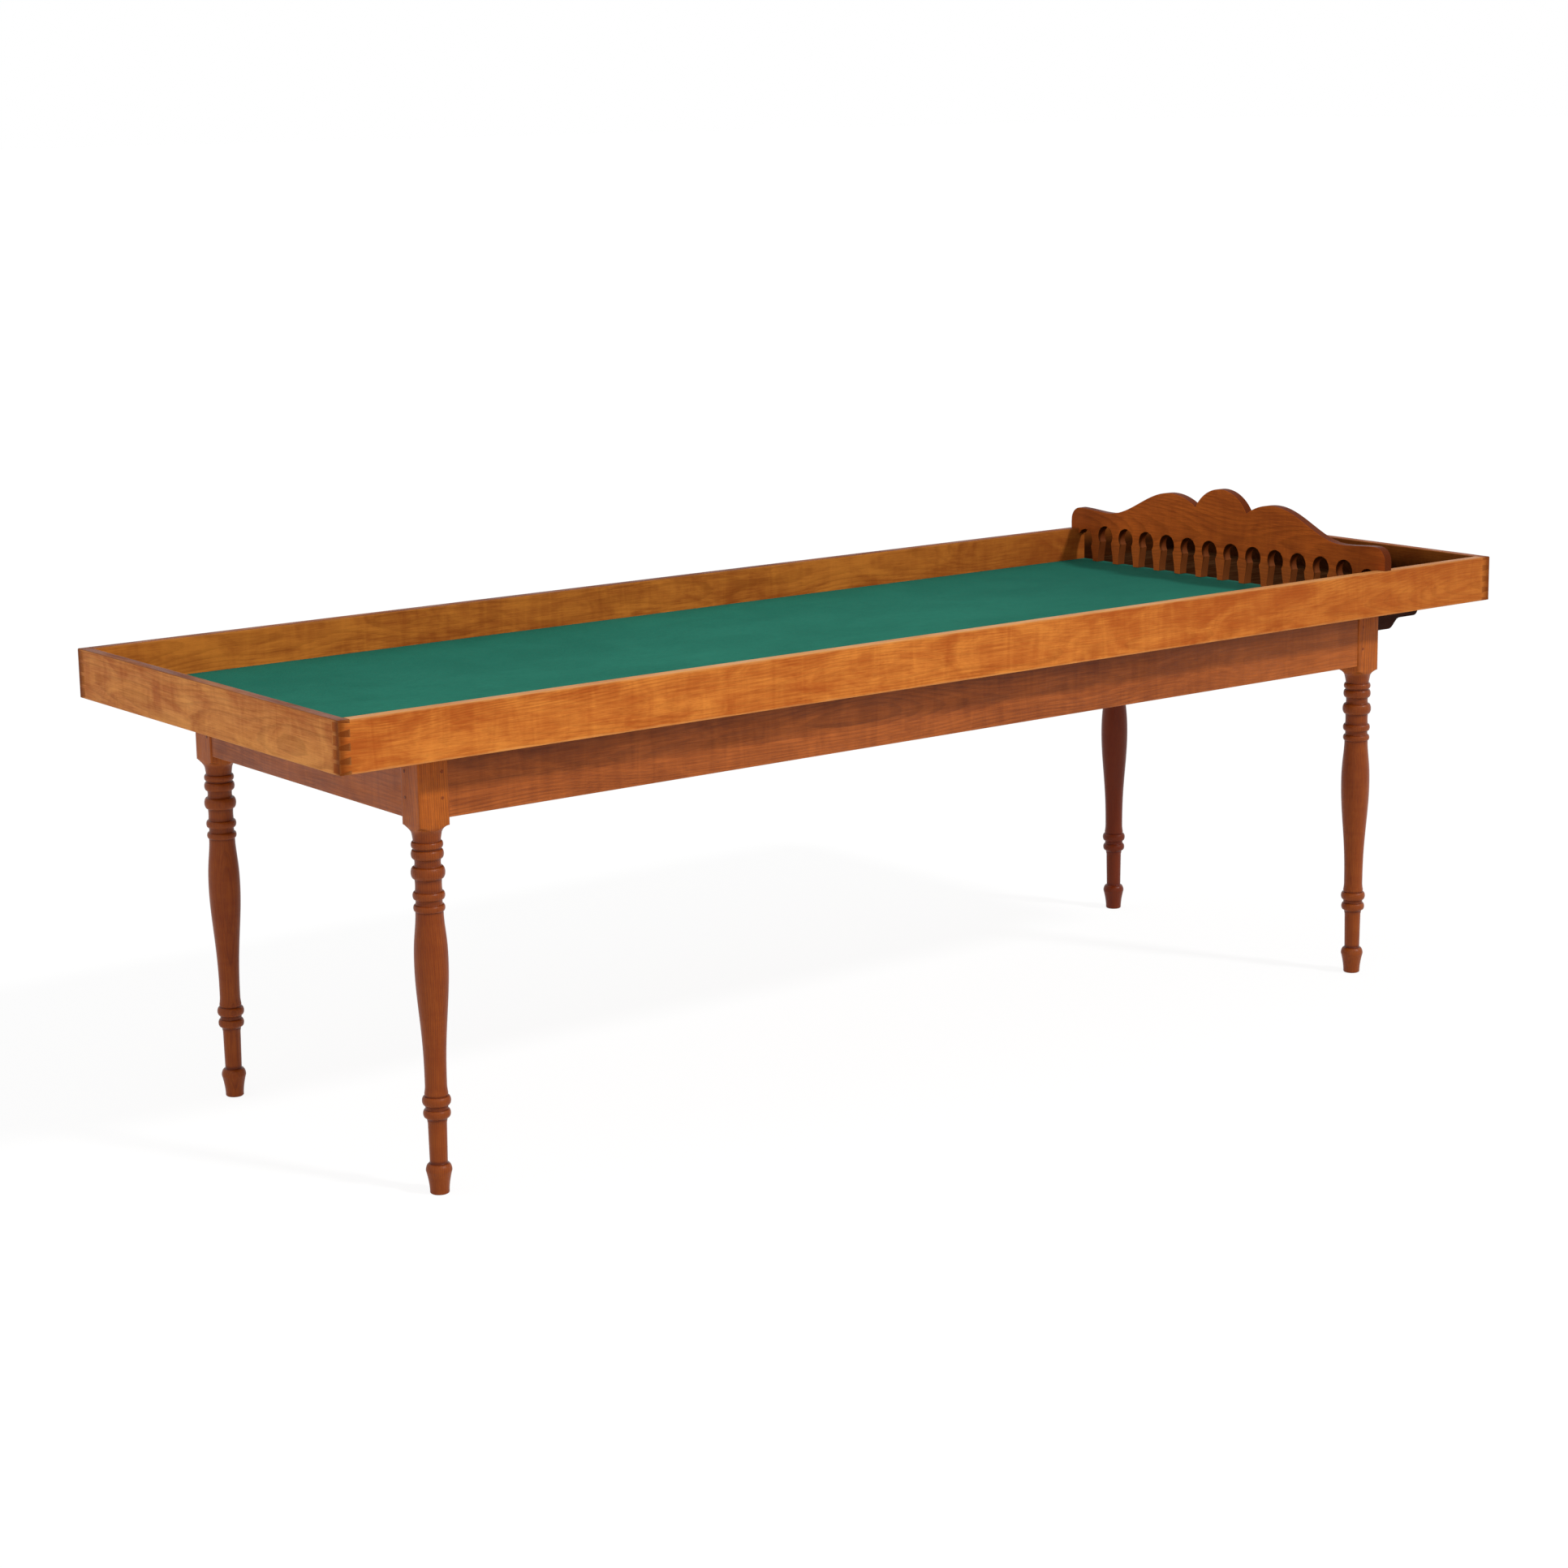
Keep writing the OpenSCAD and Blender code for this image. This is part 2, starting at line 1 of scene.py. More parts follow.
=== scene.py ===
"""Dresses the frame of a long game table with its wood, cloth and iron, and sets it in a pale studio.

Lengths are in metres, in the frame's own axes: X along the table, the front at -Y, Z up.
"""

import math
from typing import NamedTuple

import bmesh
import bpy
from bpy.props import FloatProperty, FloatVectorProperty, IntProperty, PointerProperty
from mathutils import Matrix, Vector, noise


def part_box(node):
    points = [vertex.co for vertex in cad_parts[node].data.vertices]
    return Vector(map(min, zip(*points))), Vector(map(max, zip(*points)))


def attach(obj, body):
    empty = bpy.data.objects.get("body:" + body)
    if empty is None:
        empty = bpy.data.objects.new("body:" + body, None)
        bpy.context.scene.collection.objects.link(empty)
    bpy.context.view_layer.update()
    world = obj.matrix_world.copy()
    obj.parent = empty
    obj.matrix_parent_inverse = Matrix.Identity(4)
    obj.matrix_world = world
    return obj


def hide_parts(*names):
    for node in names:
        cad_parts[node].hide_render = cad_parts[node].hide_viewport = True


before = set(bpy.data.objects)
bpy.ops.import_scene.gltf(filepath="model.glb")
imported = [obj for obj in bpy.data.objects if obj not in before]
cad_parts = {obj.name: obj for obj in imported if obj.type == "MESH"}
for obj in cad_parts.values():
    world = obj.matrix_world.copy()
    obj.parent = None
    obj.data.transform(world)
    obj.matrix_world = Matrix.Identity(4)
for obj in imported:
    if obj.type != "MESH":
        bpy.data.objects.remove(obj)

bl_info = {
    "name": "Long game table",
    "version": (1, 0, 0),
    "blender": (4, 5, 0),
    "location": "View3D > Sidebar > Game table",
    "description": "Gives a long game table its wood, cloth and iron, and a studio to stand in",
    "category": "Object",
}

MM = 0.001
WELD = 0.002 * MM
SAME_PLACE = 0.05 * MM
FLAT_ANGLE = math.radians(0.3)
SHARP_ANGLE = math.radians(30)

FRONT_RAIL_LOW, FRONT_RAIL_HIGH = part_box("rail_front")
TRAY_X = FRONT_RAIL_HIGH.x
TRAY_Y = -FRONT_RAIL_LOW.y
RAIL_T = FRONT_RAIL_HIGH.y - FRONT_RAIL_LOW.y
RAIL_TOP = FRONT_RAIL_HIGH.z
RAIL_BOTTOM = FRONT_RAIL_LOW.z
CLOTH_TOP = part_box("baize")[1].z
GALLERY_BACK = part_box("gallery_board")[1].x

SIDE_GRAIN = {"front": "x", "back": "x", "left": "y", "right": "y"}
BOARD_NUMBERS = range(1, 5)


# Properties


def srgb(red, green, blue):
    """A colour written as it looks on a screen, 0 to 255, in Blender's linear values."""
    def linear(v):
        return v / 12.92 if v <= 0.04045 else ((v + 0.055) / 1.055) ** 2.4

    return tuple(linear(c / 255) for c in (red, green, blue))


def length(name, description, default):
    return FloatProperty(
        name=name, description=description, default=default, min=0, unit="LENGTH", subtype="DISTANCE"
    )


def colour(name, description, default):
    return FloatVectorProperty(
        name=name, description=description, default=default, size=3, min=0, max=1, subtype="COLOR"
    )


def share(name, description, default):
    return FloatProperty(name=name, description=description, default=default, min=0, max=1, subtype="FACTOR")


def angle(name, description, default):
    return FloatProperty(
        name=name, description=description, default=math.radians(default), subtype="ANGLE", unit="ROTATION"
    )


class TraySettings(bpy.types.PropertyGroup):
    arris: length("Rail arris", "Rounding of the rails' top edges", 1.8 * MM)
    low_arris: length("Lower arris", "Rounding of the tray's lower and upright edges", 0.9 * MM)
    joint_line: length("Joint line", "Chamfer that shows where two pieces meet", 0.22 * MM)
    screw_arris: length("Screw arris", "Rounding of the screws' heads", 0.1 * MM)
    light: colour("Light wood", "Pale parts of the rails' wood", srgb(229, 141, 60))
    dark: colour("Dark wood", "Deep parts of the rails' wood", srgb(180, 89, 34))
    dull_light: colour("Dull light wood", "Pale parts of the far and right rails", srgb(209, 125, 48))
    dull_dark: colour("Dull dark wood", "Deep parts of the far and right rails", srgb(156, 79, 30))
    end_light: colour("Light end wood", "Pale parts of the plain end's rail", srgb(229, 154, 82))
    end_dark: colour("Dark end wood", "Deep parts of the plain end's rail", srgb(180, 98, 48))
    line: colour("Growth lines", "Late wood of the rails", srgb(112, 50, 12))
    worn: colour("Worn wood", "Handled edges of the rails", srgb(222, 160, 96))
    plain_light: colour("Light plain wood", "Pale parts of the bed and battens", srgb(196, 150, 100))
    plain_dark: colour("Dark plain wood", "Deep parts of the bed and battens", srgb(150, 104, 62))
    stain: colour("Stain", "Dark stain inside the tray behind the gallery", srgb(48, 22, 8))
    stained: share("Stained", "Strength of that stain by the bed", 1.0)
    iron: colour("Iron", "Oiled iron of the screws", srgb(70, 64, 60))
    rust: colour("Rust", "Browned patches on the screws", srgb(92, 52, 34))
    scale: colour("Scale", "Black specks on the screws", srgb(38, 33, 31))


class StandSettings(bpy.types.PropertyGroup):
    arris: length("Arris", "Rounding of the aprons' and blocks' edges", 1.0 * MM)
    peg_rise: length("Peg rise", "How far the pegs stand out of the leg blocks", 0.35 * MM)
    light: colour("Light wood", "Pale parts of the stand's wood", srgb(194, 105, 44))
    dark: colour("Dark wood", "Deep parts of the stand's wood", srgb(131, 61, 20))
    line: colour("Growth lines", "Late wood of the stand", srgb(80, 34, 12))
    worn: colour("Worn wood", "Handled edges of the stand", srgb(190, 112, 56))
    grime: colour("Grime", "Dirt in the turned grooves", srgb(40, 18, 10))
    block_light: colour("Light block wood", "Pale parts of the leg blocks", srgb(206, 112, 36))
    block_dark: colour("Dark block wood", "Deep parts of the leg blocks", srgb(150, 70, 16))
    polish: colour("Polish", "Old red polish on the turned parts", srgb(100, 30, 8))
    polished: share("Polished", "Strength of that polish", 0.58)
    # The corbels' colours are painted shade: near-black for the deep shade under the tray.
    corbel: colour("Corbel wood", "Pale parts of the dark corbels", srgb(62, 27, 12))
    columns: IntProperty(name="Columns", description="Faces round a leg", default=80, min=24, max=192)


class GallerySettings(bpy.types.PropertyGroup):
    arris: length("Arris", "Rounding of the sawn outline", 1.0 * MM)
    arch_arris: length("Arch arris", "Rounding of the arches' edges", 0.3 * MM)
    peg_arris: length("Peg arris", "Rounding of the two pegs' ends", 0.8 * MM)
    light: colour("Light wood", "Pale parts of the gallery board", srgb(228, 114, 42))
    dark: colour("Dark wood", "Deep parts of the gallery board", srgb(170, 78, 32))
    line: colour("Growth lines", "Late wood of the gallery board", srgb(88, 36, 12))
    # This colour serves only as painted shade on the board below the rails' tops; no edge is rubbed with it.
    worn: colour("Worn wood", "Handled edges of the gallery board", srgb(168, 98, 50))


class ClothSettings(bpy.types.PropertyGroup):
    cell: length("Cell", "Size of the cloth's mesh cells", 12 * MM)
    swell: length("Swell", "How far the cloth rises and falls over the bed", 0.18 * MM)
    edge: length("Edge", "Rounding of the cloth's cut edge", 0.8 * MM)
    green: colour("Green", "Fresh cloth", srgb(32, 123, 100))
    faded: colour("Faded green", "Cloth faded by light and play", srgb(48, 139, 116))
    deep: colour("Deep green", "Cloth in the hollows of its nap", srgb(14, 87, 73))
    sheen: colour("Sheen", "Tint of the nap seen at a low angle", (0.35, 0.75, 0.6))


class StudioSettings(bpy.types.PropertyGroup):
    eye: FloatVectorProperty(
        name="Eye", description="Where the camera stands", default=(-3.6831, -4.7222, 1.7189), size=3,
        unit="LENGTH", subtype="XYZ"
    )
    heading: angle("Heading", "Camera's heading from +Y towards +X", 37.091)
    pitch: angle("Pitch", "Camera's tilt above the horizon", -11.864)
    roll: angle("Roll", "Camera's turn about its own line of sight", -0.865)
    lens: FloatProperty(name="Lens", description="Focal length", default=77.06, min=10, unit="CAMERA")
    sun_heading: angle("Key heading", "Where the key light stands, from +X towards +Y", -65)
    sun_height: angle("Key height", "Height of the key light above the horizon", 40)
    key: FloatProperty(name="Key", description="Strength of the key light", default=1.6, min=0)
    key_spread: angle("Key spread", "Apparent width of the key light, which softens the shadows", 6)
    sky: share("Sky", "Strength of the light from all round", 0.55)
    lean: share("Lean", "How much stronger that light is from the plain end", 0.45)
    floor: colour("Floor", "Colour of the floor", srgb(236, 236, 236))
    floor_reach: length("Floor reach", "How far the floor goes each way", 90)
    shadow: share("Shadow", "How much of its shading the camera sees on the floor", 0.14)
    glow: share("Glow", "Light that only the camera and reflections see on the floor", 0.9)


# Node graphs


class Graph:
    """A node tree. Each method adds nodes and returns the socket that holds the result."""

    def __init__(self, tree):
        self.nodes = tree.nodes
        self.links = tree.links
        self.nodes.clear()

    def fill(self, socket, value):
        """Links a socket's value, or sets it where it is a number or a colour."""
        if isinstance(value, bpy.types.NodeSocket):
            self.links.new(value, socket)
        elif socket.type == "RGBA" and len(value) == 3:
            socket.default_value = (*value, 1)
        else:
            socket.default_value = value

    def add(self, kind, inputs=(), **settings):
        node = self.nodes.new("ShaderNode" + kind)
        for name, value in settings.items():
            setattr(node, name, value)
        for key, value in dict(inputs).items():
            self.fill(node.inputs[key], value)
        return node

    def math(self, operation, *values):
        return self.add("Math", enumerate(values), operation=operation).outputs[0]

    def product(self, first, *others):
        for other in others:
            first = self.math("MULTIPLY", first, other)
        return first

    def sway(self, value, pattern, amount):
        """The value moved up and down by a pattern that swings about a half."""
        return self.math("MULTIPLY_ADD", self.math("SUBTRACT", pattern, 0.5), amount, value)

    def vector(self, operation, *values):
        node = self.add("VectorMath", enumerate(values), operation=operation)
        return node.outputs["Value" if operation in ("LENGTH", "DOT_PRODUCT") else "Vector"]

    def split(self, vector):
        return self.add("SeparateXYZ", {"Vector": vector}).outputs[:]

    def join(self, x, y, z):
        return self.add("CombineXYZ", {"X": x, "Y": y, "Z": z}).outputs[0]

    def noise(self, place, waves, detail=2, roughness=0.5, distortion=0, output="Fac"):
        """Noise with that many waves a metre along each axis."""
        inputs = {
            "Vector": self.vector("MULTIPLY", place, waves), "Scale": 1,
            "Detail": detail, "Roughness": roughness, "Distortion": distortion,
        }
        return self.add("TexNoise", inputs).outputs[output]

    def rise(self, value, low, high, start=0, end=1):
        """From start to end as the value goes from low to high."""
        return self.add(
            "MapRange",
            {"Value": value, "From Min": low, "From Max": high, "To Min": start, "To Max": end},
            interpolation_type="SMOOTHSTEP",
        ).outputs[0]

    def mix(self, factor, first, second):
        """From the first colour to the second as the factor goes from 0 to 1."""
        node = self.add("Mix", data_type="RGBA")
        for socket, value in zip((node.inputs[0], node.inputs[6], node.inputs[7]), (factor, first, second)):
            self.fill(socket, value)
        return node.outputs[2]

    def surface(self, shade, roughness, height, depth, **constants):
        """The finished material: colour, roughness and relief from nodes, the rest constant."""
        bump = self.add("Bump", {"Strength": 1, "Distance": depth, "Height": height})
        inputs = {"Base Color": shade, "Roughness": roughness, "Normal": bump.outputs[0], **constants}
        shader = self.add("BsdfPrincipled", inputs)
        self.links.new(shader.outputs[0], self.add("OutputMaterial").inputs[0])

    def seen(self):
        """1 for what the camera sees, also in a gloss or through glass, and 0 for light on the table."""
        path = self.add("LightPath").outputs
        direct = self.math("MAXIMUM", path["Is Camera Ray"], path["Is Transmission Ray"])
        return self.math("MAXIMUM", direct, path["Is Glossy Ray"])


def new_material(name):
    """An empty material and its graph."""
    material = bpy.data.materials.new(name)
    material.use_nodes = True
    return material, Graph(material.node_tree)


# Wood

# Waves a metre along the grain, across the board and through it
WOOD_WAVES = {
    "drift": (1.1, 3, 3),
    "ragged": (8, 160, 160),
    "fibre": (16, 620, 620),
    "pores": (90, 2400, 2400),
    "figure": (38, 6, 8),
    "mottle": (9, 22, 22),
    "cloud": (1.6, 5, 5),
    "lines": (2, 30, 30),
    "top_patches": (6, 60, 60),
    "rubbing": (22, 90, 90),
    "gloss": (9, 40, 40),
    "planing": (5, 30, 30),
}

# How far the growth rings wander, and how far aside of a board the middle of its tree can lie
RING_DRIFT = (0, 0.06, 0.11)
PITH_ASIDE = 21 * MM

# Step in the noise from one board to the next, so that no two boards are alike
BOARD_SHIFT = (3.7, 1.9, 2.3)
WOOD_RELIEF = 0.12 * MM


class Look(NamedTuple):
    """A wood's colours, the size and strength of its grain, and its finish."""

    light: tuple
    dark: tuple
    line: tuple
    worn: tuple
    pith: float  # from the board's middle to the middle of the tree
    spacing: float  # from one growth ring to the next
    lines: float  # strength of the growth rings
    figure: float  # contrast of the bands that cross the grain
    mottle: float  # contrast of the blotches
    roughness: float
    shine: float = 0.16  # specular level of the finish


def grain_axes(grain, half):
    """The axes along the grain, across the board and through it."""
    first = "xyz".index(grain)
    return first, *sorted((i for i in range(3) if i != first), key=lambda i: -half[i])


def edge_distance(g, local, half):
    """Distance of a point on a box to the box's nearest edge."""
    inset = g.split(g.vector("SUBTRACT", half, g.vector("ABSOLUTE", local)))
    pairs = [g.math("MAXIMUM", inset[i], inset[(i + 1) % 3]) for i in range(3)]
    return g.math("MINIMUM", g.math("MINIMUM", pairs[0], pairs[1]), pairs[2])


def late_wood(g, look, across, through, place, seed):
    """1 on the dark side of each growth ring, in a board cut from its own part of the tree."""
    wander = g.noise(place, WOOD_WAVES["drift"], 2, output="Color")
    wander = g.vector("SUBTRACT", wander, (0.5, 0.5, 0.5))
    drift = g.split(g.vector("MULTIPLY", wander, RING_DRIFT))
    pith_y = PITH_ASIDE * math.sin(seed * 2.1)
    pith_z = look.pith * (1 + 0.3 * math.cos(seed * 1.3))
    ring_y = g.math("ADD", g.math("ADD", across, pith_y), drift[1])
    ring_z = g.math("ADD", g.math("ADD", through, pith_z), drift[2])
    radius = g.vector("LENGTH", g.join(ring_y, ring_z, 0.0))
    stray = g.product(g.noise(place, WOOD_WAVES["ragged"], 2), 0.5 * look.spacing)
    ring = g.math("FRACT", g.math("DIVIDE", g.math("ADD", radius, stray), look.spacing))
    return g.product(g.rise(ring, 0.35, 0.88), g.rise(ring, 0.9, 1.0, 1, 0))


def wood_tone(g, look, place, fibre):
    """From 0 in the wood's deep parts to 1 in its pale ones."""
    tone = 0.5
    for pattern, amount in (
        (g.noise(place, WOOD_WAVES["cloud"], 2), 0.7 * look.mottle),
        (g.noise(place, WOOD_WAVES["mottle"], 3, 0.6, 1.0), look.mottle),
        (fibre, 1.1),
        (g.noise(place, WOOD_WAVES["figure"], 2, 0.55, 1.2), look.figure),
    ):
        tone = g.sway(tone, pattern, amount)
    return g.rise(tone, -0.15, 1.15)


def wood(
    name, look, node, grain, seed, worn=0.0, tops=None, painted_edge_shade=0.0, turned=None, layers=(), ends=0.5
):
    """Solid wood whose grain runs along one axis, so that faces, edges and end grain agree.

    worn rubs the edges pale, tops lays a share of a colour on what faces up, the edge share paints shade on
    what doesn't face along X, turned colours the grooves of turned work, and ends darkens the end grain.
    Each layer is a function of the graph and the spot that gives a share and a colour to lay on.
    """
    material, g = new_material(name)
    low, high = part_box(node)
    half = (high - low) / 2
    coordinates = g.add("TexCoord").outputs
    spot, normal = coordinates["Object"], coordinates["Normal"]
    local = g.vector("SUBTRACT", spot, (low + high) / 2)
    facing = g.split(g.vector("ABSOLUTE", normal))
    axes = grain_axes(grain, half)
    in_box = g.split(local)
    run, across, through = (in_box[i] for i in axes)
    place = g.vector("ADD", g.join(run, across, through), tuple(seed * shift for shift in BOARD_SHIFT))

    fibre = g.noise(place, WOOD_WAVES["fibre"], 3, 0.6)
    pores = g.rise(g.noise(place, WOOD_WAVES["pores"], 1), 0.60, 0.72)
    late = late_wood(g, look, across, through, place, seed)
    shade = g.mix(wood_tone(g, look, place, fibre), look.dark, look.light)
    strength = g.rise(g.noise(place, WOOD_WAVES["lines"], 2), 0.3, 0.7, 0.4 * look.lines, look.lines)
    shade = g.mix(g.product(late, strength), shade, look.line)
    shade = g.mix(g.product(pores, 0.3), shade, look.line)
    shade = g.mix(g.rise(facing[axes[0]], 0.6, 0.95, 0, ends), shade, look.line)
    # Painted shade on faces that don't face along X, such as the arches' jambs and the sawn outline.
    if painted_edge_shade:
        shade = g.mix(g.rise(facing[0], 0.35, 0.85, painted_edge_shade, 0), shade, look.line)
    # Up-facing faces take a patchy share of a colour: darker on the far and end rails, paler on the front.
    if tops:
        most, tint = tops
        patchy = g.rise(g.noise(place, WOOD_WAVES["top_patches"], 3), 0.3, 0.62, 0.55 * most, most)
        shade = g.mix(g.product(g.rise(g.split(normal)[2], 0.3, 0.8), patchy), shade, tint)
    roughness = g.noise(place, WOOD_WAVES["gloss"], 3, 0.6)
    roughness = g.rise(roughness, 0.25, 0.75, look.roughness - 0.07, look.roughness + 0.12)
    if worn:
        reach = g.product(g.noise(place, WOOD_WAVES["rubbing"], 3, 0.6), 7 * MM)
        gap = g.math("SUBTRACT", edge_distance(g, local, half), reach)
        rubbed = g.rise(gap, -2.5 * MM, 0.6 * MM, worn, 0)
        shade = g.mix(rubbed, shade, look.worn)
        roughness = g.math("MULTIPLY_ADD", rubbed, 0.15, roughness)
    if turned:
        crest = g.add("Attribute", attribute_name="crest").outputs["Fac"]
        shade = g.mix(g.rise(crest, -0.9, -0.15, 0.75, 0), shade, turned)
        shade = g.mix(g.rise(crest, 0.25, 1.0, 0, 0.25), shade, look.worn)
    for layer in layers:
        laid, tint = layer(g, spot)
        shade = g.mix(laid, shade, tint)

    height = g.math("MULTIPLY_ADD", fibre, 0.5, g.product(pores, -0.6))
    height = g.math("MULTIPLY_ADD", late, 0.25, height)
    height = g.math("MULTIPLY_ADD", g.noise(place, WOOD_WAVES["planing"], 2), 1.6, height)
    finish = {"Specular IOR Level": look.shine, "Coat Weight": 0.2 * look.shine, "Coat Roughness": 0.25}
    g.surface(shade, roughness, height, WOOD_RELIEF, **finish)
    return material


# Stains, polish, painted light, painted shade and other colours laid on the wood

# Waves a metre along each of the table's axes
STAIN_WAVES = {
    "ragged": (40, 40, 40),
    "streaks": (7, 90, 90),
    "patches": (9, 11, 9),
}

# Where the stain starts and stops fading, past the rails' inner faces
FADE = (0.2 * MM, 0.8 * MM)


def ragged(g, spot, value, low, high, start, end, drift=6 * MM):
    """From start to end as a coordinate goes from low to high, along an uneven line."""
    stray = g.product(g.math("SUBTRACT", g.noise(spot, STAIN_WAVES["ragged"], 3, 0.6), 0.5), 2 * drift)
    return g.rise(g.math("ADD", value, stray), low, high, start, end)


def catch_stain(settings):
    """Dark stain inside the tray behind the gallery, deepest near the bed and thin in streaks."""
    wall_x, wall_y = TRAY_X - RAIL_T, TRAY_Y - RAIL_T

    def layer(g, spot):
        x, y, z = g.split(spot)
        behind = g.rise(x, GALLERY_BACK - 1 * MM, GALLERY_BACK + 1 * MM)
        between = g.rise(g.math("ABSOLUTE", y), wall_y + FADE[0], wall_y + FADE[1], 1, 0)
        before = g.rise(x, wall_x + FADE[0], wall_x + FADE[1], 1, 0)
        over_bed = g.rise(z, CLOTH_TOP - 4 * MM, CLOTH_TOP - 3 * MM)
        most = settings.stained
        depth = ragged(g, spot, z, RAIL_TOP - 45 * MM, RAIL_TOP - 5 * MM, most, 0.45 * most)
        streaks = g.rise(g.noise(spot, STAIN_WAVES["streaks"], 3, 0.6), 0.42, 0.72, 1, 0.93)
        patches = g.rise(g.noise(spot, STAIN_WAVES["patches"], 3, 0.6), 0.4, 0.7, 1, 0.95)
        return g.product(behind, between, before, over_bed, depth, streaks, patches), settings.stain

    return layer


def below(height, reach, strength, tint):
    """A colour that deepens below a height, over the given reach."""
    def layer(g, spot):
        return ragged(g, spot, g.split(spot)[2], height - reach, height, strength, 0), tint

    return layer


def above(height, reach, strength, tint):
    """A colour that deepens above a height, over the given reach."""
    def layer(g, spot):
        return ragged(g, spot, g.split(spot)[2], height, height + reach, 0, strength), tint

    return layer


def along(start, end, strength, tint):
    """A colour that deepens from one place along the table to another."""
    def layer(g, spot):
        return ragged(g, spot, g.split(spot)[0], start, end, 0, strength, drift=80 * MM), tint

    return layer


def outward(start, end, strength, tint):
    """A colour that deepens from the table's middle line towards its sides."""
    def layer(g, spot):
        aside = g.math("ABSOLUTE", g.split(spot)[1])
        return ragged(g, spot, aside, start, end, 0, strength, drift=20 * MM), tint

    return layer


def at_corners(reach, strength, tint):
    """Painted shade: a darker colour along the tray's four upright corners."""
    def layer(g, spot):
        x, y, _ = g.split(spot)
        from_end = g.math("SUBTRACT", TRAY_X, g.math("ABSOLUTE", x))
        from_side = g.math("SUBTRACT", TRAY_Y, g.math("ABSOLUTE", y))
        away = g.math("ADD", from_end, from_side)
        return ragged(g, spot, away, 0.1 * reach, reach, strength, 0, drift=0.4 * reach), tint

    return layer


# Cloth, iron and the studio's materials

# Waves a metre along the table, across it and through the cloth
CLOTH_WAVES = {
    "nap": (420, 420, 420),
    "lay": (60, 210, 60),
    "mottle": (7, 9, 7),
    "cloud": (1.1, 2.6, 1),
    "fluff": (1500, 1500, 1500),
    "play": (2.2, 12, 2),
}
CLOTH_RELIEF = 0.5 * MM

# The worn track across the table: its middle, and the half widths between which it fades
PLAY_MIDDLE = -0.06
PLAY_HALF = (0.04, 0.34)

# Waves a metre over the screws
IRON_WAVES = {
    "patch": (260, 260, 260),
    "grit": (1700, 1700, 1700),
}
IRON_RELIEF = 0.08 * MM


def baize_cloth(settings):
    """Felted wool: a short nap over a weave, faded and worn where the balls run."""
    material, g = new_material("baize_cloth")
    spot = g.add("TexCoord").outputs["Object"]
    x, y, _ = g.split(spot)
    nap = g.noise(spot, CLOTH_WAVES["nap"], 3, 0.65)
    lay = g.noise(spot, CLOTH_WAVES["lay"], 2, 0.6)
    mottle = g.noise(spot, CLOTH_WAVES["mottle"], 3, 0.55, 0.6)
    cloud = g.noise(spot, CLOTH_WAVES["cloud"], 2)
    fluff = g.noise(spot, CLOTH_WAVES["fluff"], 2)
    played = g.rise(g.math("ABSOLUTE", g.math("SUBTRACT", y, PLAY_MIDDLE)), *PLAY_HALF, 1, 0)
    played = g.product(played, g.noise(spot, CLOTH_WAVES["play"], 3, 0.6))
    fading = g.math("MULTIPLY_ADD", played, 0.45, g.product(g.rise(mottle, 0.3, 0.7), 0.22))
    fading = g.math("ADD", fading, g.rise(cloud, 0.3, 0.7, -0.08, 0.14))

    shade = g.mix(g.rise(nap, 0.3, 0.7), settings.deep, settings.green)
    shade = g.mix(fading, shade, settings.faded)
    shade = g.mix(g.rise(lay, 0.3, 0.75, 0, 0.3), shade, settings.deep)
    # Painted shade: the cloth darkens towards the gallery.
    shade = g.mix(g.rise(x, 0, GALLERY_BACK, 0.05, 0.45), shade, settings.deep)
    shade = g.mix(g.rise(fluff, 0.62, 0.8, 0, 0.35), shade, settings.faded)
    height = g.math("ADD", nap, g.product(fluff, 0.5))
    finish = {
        "Specular IOR Level": 0.06, "Sheen Weight": 0.05, "Sheen Roughness": 0.45,
        "Sheen Tint": settings.sheen,
    }
    g.surface(shade, g.rise(nap, 0.2, 0.8, 0.86, 0.96), height, CLOTH_RELIEF, **finish)
    return material


def oiled_iron(settings):
    """Old screw iron, oiled and browned in patches."""
    material, g = new_material("screw_iron")
    spot = g.add("TexCoord").outputs["Object"]
    patch = g.noise(spot, IRON_WAVES["patch"], 3, 0.6)
    grit = g.noise(spot, IRON_WAVES["grit"], 2)
    shade = g.mix(g.rise(patch, 0.5, 0.68, 0, 0.75), settings.iron, settings.rust)
    shade = g.mix(g.rise(grit, 0.45, 0.7, 0, 0.4), shade, settings.scale)
    g.surface(shade, g.rise(patch, 0.3, 0.7, 0.42, 0.75), grit, IRON_RELIEF, Metallic=0.85)
    return material


def surroundings(tree, strength, lean):
    """Soft light from all round, stronger from the plain end, which the camera sees as white."""
    g = Graph(tree)
    towards_gallery = g.split(g.add("TexCoord").outputs["Generated"])[0]
    lit = g.math("MULTIPLY_ADD", towards_gallery, -lean * strength, strength)
    level = g.math("MAXIMUM", lit, g.seen())
    background = g.add("Background", {"Color": (1, 1, 1), "Strength": level})
    g.links.new(background.outputs[0], g.add("OutputWorld").inputs[0])


def pale_floor(settings):
    """A pale matt floor that meets the white background and keeps the table's soft shadow."""
    material, g = new_material("pale_floor")
    seen = g.seen()
    faint = (settings.shadow, settings.shadow, settings.shadow)
    matt = g.add("BsdfDiffuse", {"Color": g.mix(seen, settings.floor, faint)})
    glow = g.add("Emission", {"Color": (1, 1, 1), "Strength": g.product(seen, settings.glow)})
    both = g.add("AddShader", {0: matt.outputs[0], 1: glow.outputs[0]})
    g.links.new(both.outputs[0], g.add("OutputMaterial").inputs[0])
    return material


# Pieces


